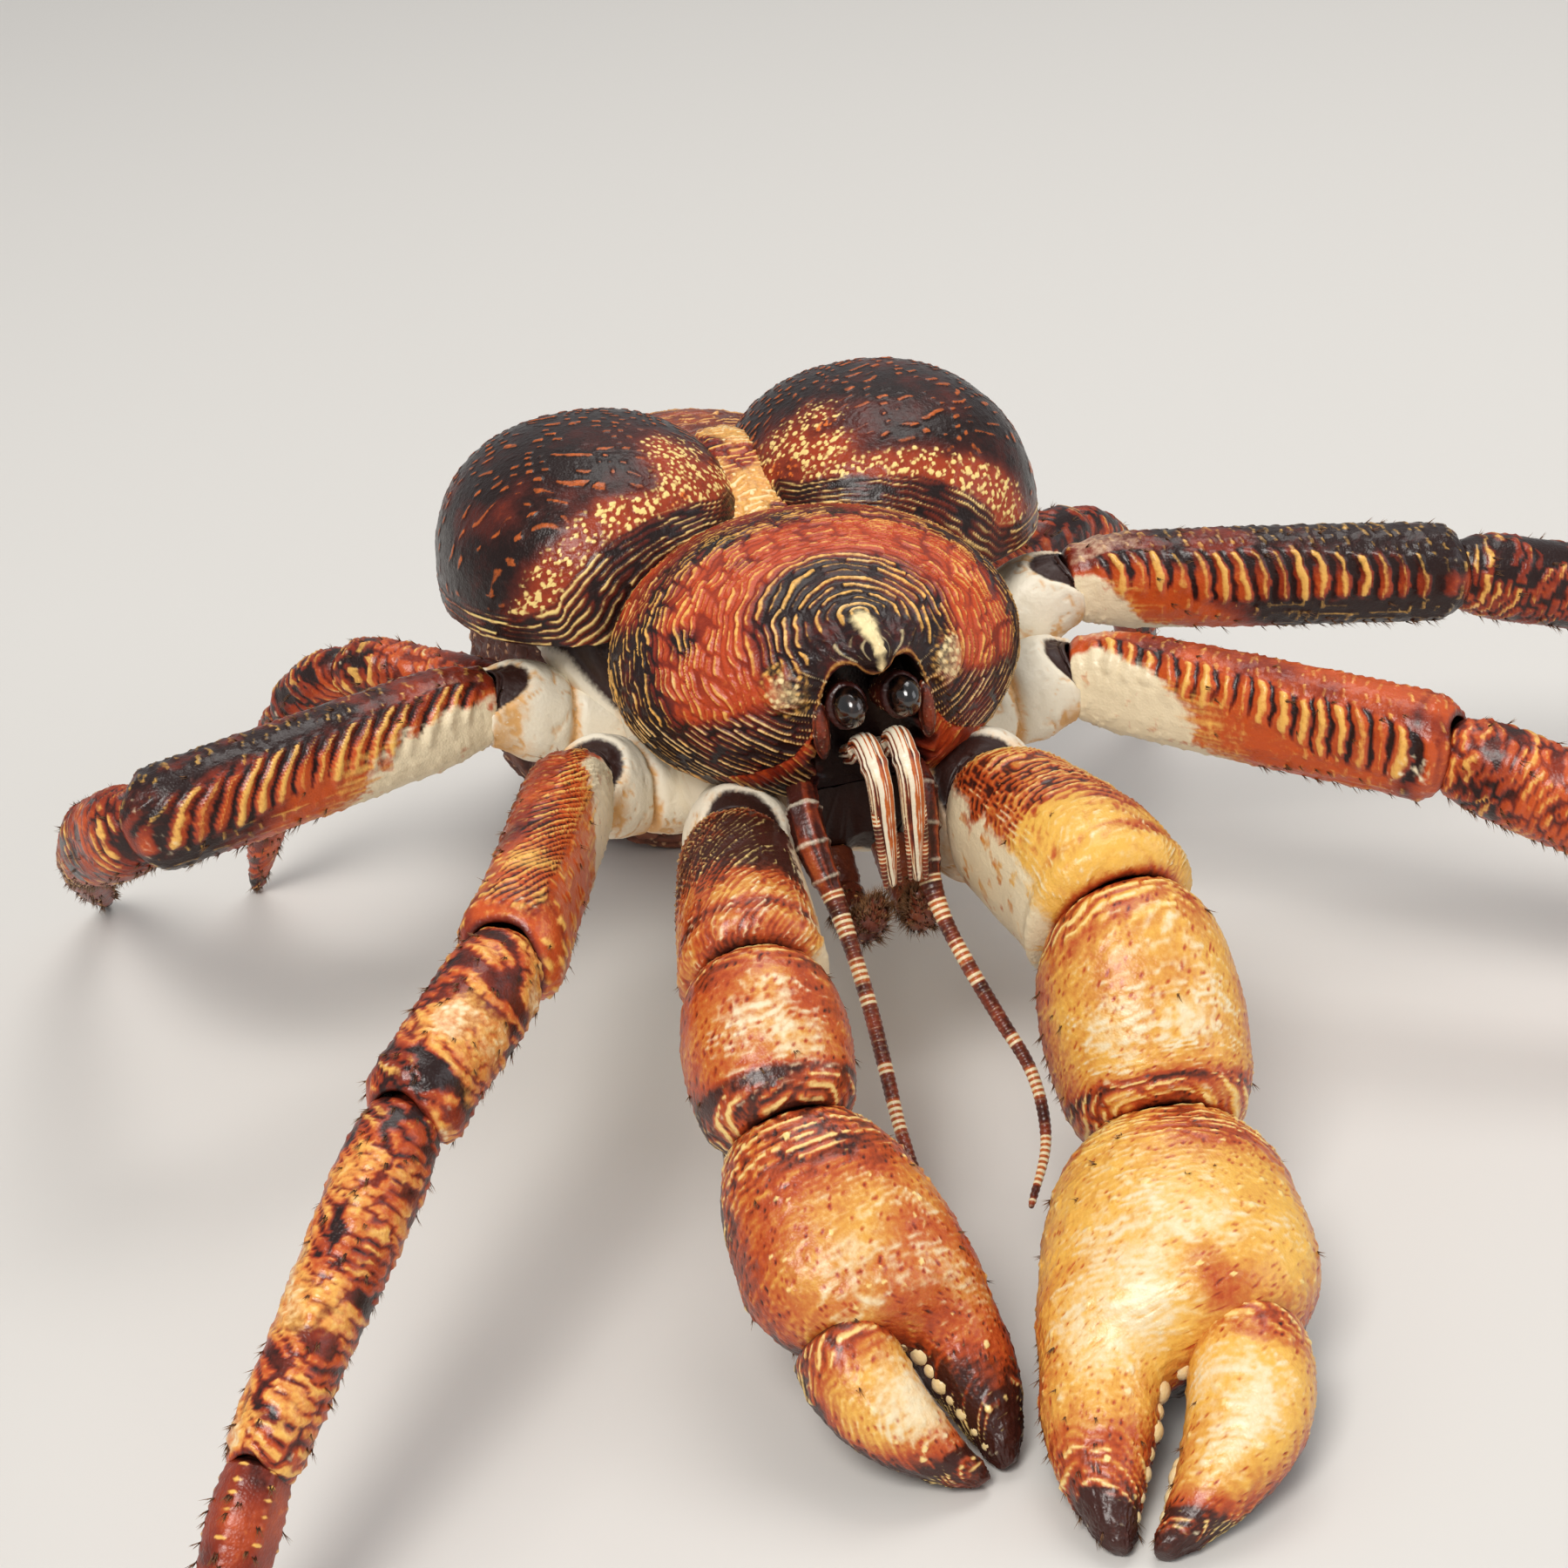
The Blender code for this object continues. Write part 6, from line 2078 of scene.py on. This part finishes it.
@dataclass(frozen=True)
class Lamp:
    """Light that faces the crab: a square, or a wide sun that lights all of the floor.

    The size is the square's side in metres or the sun's angle in radians, the power the
    square's in watts or the sun's strength.
    """

    name: str
    place: tuple[float, float, float]
    size: float
    power: float
    colour: Colour
    kind: LampKind = LampKind.SQUARE

    def build(self, target: Vector) -> None:
        """Place the light.

        Args:
            target: The point that it faces.
        """
        data = bpy.data.lights.new(self.name, self.kind.value)
        setattr(data, "size" if self.kind is LampKind.SQUARE else "angle", self.size)
        data.energy = self.power
        data.color = self.colour
        item = bpy.data.objects.new(self.name, data)
        bpy.context.collection.objects.link(item)
        item.location = self.place
        item.rotation_euler = (target - item.location).to_track_quat("-Z", "Y").to_euler()


@dataclass
class Studio:
    """Pale floor, soft lights and the camera at the photograph's angle."""

    target: tuple[float, float, float] = (-2.2, 0, 49)
    azimuth: float = -14
    elevation: float = 25
    roll: float = -6
    distance: float = 675
    lens: float = 70
    floor_half: float = 40
    floor_level: float = -0.0002
    lamps: tuple[Lamp, ...] = (
        Lamp("sun", (-0.7, -1, 1.5), 0.5, 1.15, (1, 0.97, 0.93), LampKind.SUN),
        Lamp("key", (-0.7, -1, 1.35), 0.5, 9.5, (1, 0.97, 0.92)),
        Lamp("fill", (1.3, -0.8, 0.7), 0.9, 4.5, (0.95, 0.97, 1)),
        Lamp("top", (0.35, 0.5, 1.7), 0.9, 9, (1, 0.98, 0.95)))

    def camera(self, target: Vector) -> None:
        """Place the camera on the line of sight and roll it.

        Args:
            target: The point that it faces.
        """
        turn, lift, roll = map(math.radians, (self.azimuth, self.elevation, self.roll))
        back = Vector((math.sin(turn) * math.cos(lift), -math.cos(turn) * math.cos(lift), math.sin(lift)))
        right = Vector((0, 0, 1)).cross(back).normalized()
        up = back.cross(right)
        across = right * math.cos(roll) + up * math.sin(roll)
        rise = up * math.cos(roll) - right * math.sin(roll)
        data = bpy.data.cameras.new("camera")
        data.lens = self.lens
        item = bpy.data.objects.new("camera", data)
        bpy.context.collection.objects.link(item)
        facing = Matrix((across, rise, back)).transposed().to_4x4()
        item.matrix_world = Matrix.Translation(target + back * self.distance * MM) @ facing
        bpy.context.scene.camera = item

    def floor(self) -> None:
        """Lay the floor just below the crab."""
        size, level = self.floor_half, self.floor_level
        mesh = bpy.data.meshes.new("floor")
        corners = [(-size, -size, level), (size, -size, level), (size, size, level), (-size, size, level)]
        mesh.from_pydata(corners, [], [(0, 1, 2, 3)])
        graph = Graph("floor")
        graph.feed(graph.shader.inputs["Base Color"], (0.72, 0.7, 0.67))
        graph.feed(graph.shader.inputs["Roughness"], 0.75)
        mesh.materials.append(graph.material)
        item = bpy.data.objects.new("floor", mesh)
        bpy.context.collection.objects.link(item)

    def build(self) -> None:
        """Make the whole studio."""
        target = Vector(PLACE.world(np.array(self.target)))
        self.floor()
        self.camera(target)
        for lamp in self.lamps:
            lamp.build(target)
        world = bpy.data.worlds.new("studio")
        world.use_nodes = True
        background = world.node_tree.nodes["Background"]
        background.inputs["Color"].default_value = (0.86, 0.87, 0.88, 1)
        background.inputs["Strength"].default_value = 0.42
        bpy.context.scene.world = world
        bpy.context.scene.view_settings.view_transform = "Standard"


def main() -> None:
    """Build the crab part by part, then the studio."""
    logging.basicConfig(level=logging.INFO, format="%(message)s")
    shield = Shield()
    shield.build()
    GillLobes(shield).build()
    Trunk().build()
    for assembly, coat in ((Abdomen, Coat("belly_hairs", "belly_skin", tile_rows=2)),
                           (Limbs, Coat("limb_hairs", "leg_shell", tile_rows=6)),
                           (Face, Coat("mouth_hairs", "mouthpart", tile_rows=2))):
        assembly(coat).build()
        coat.build()
    Studio().build()


if __name__ == "__main__":
    main()
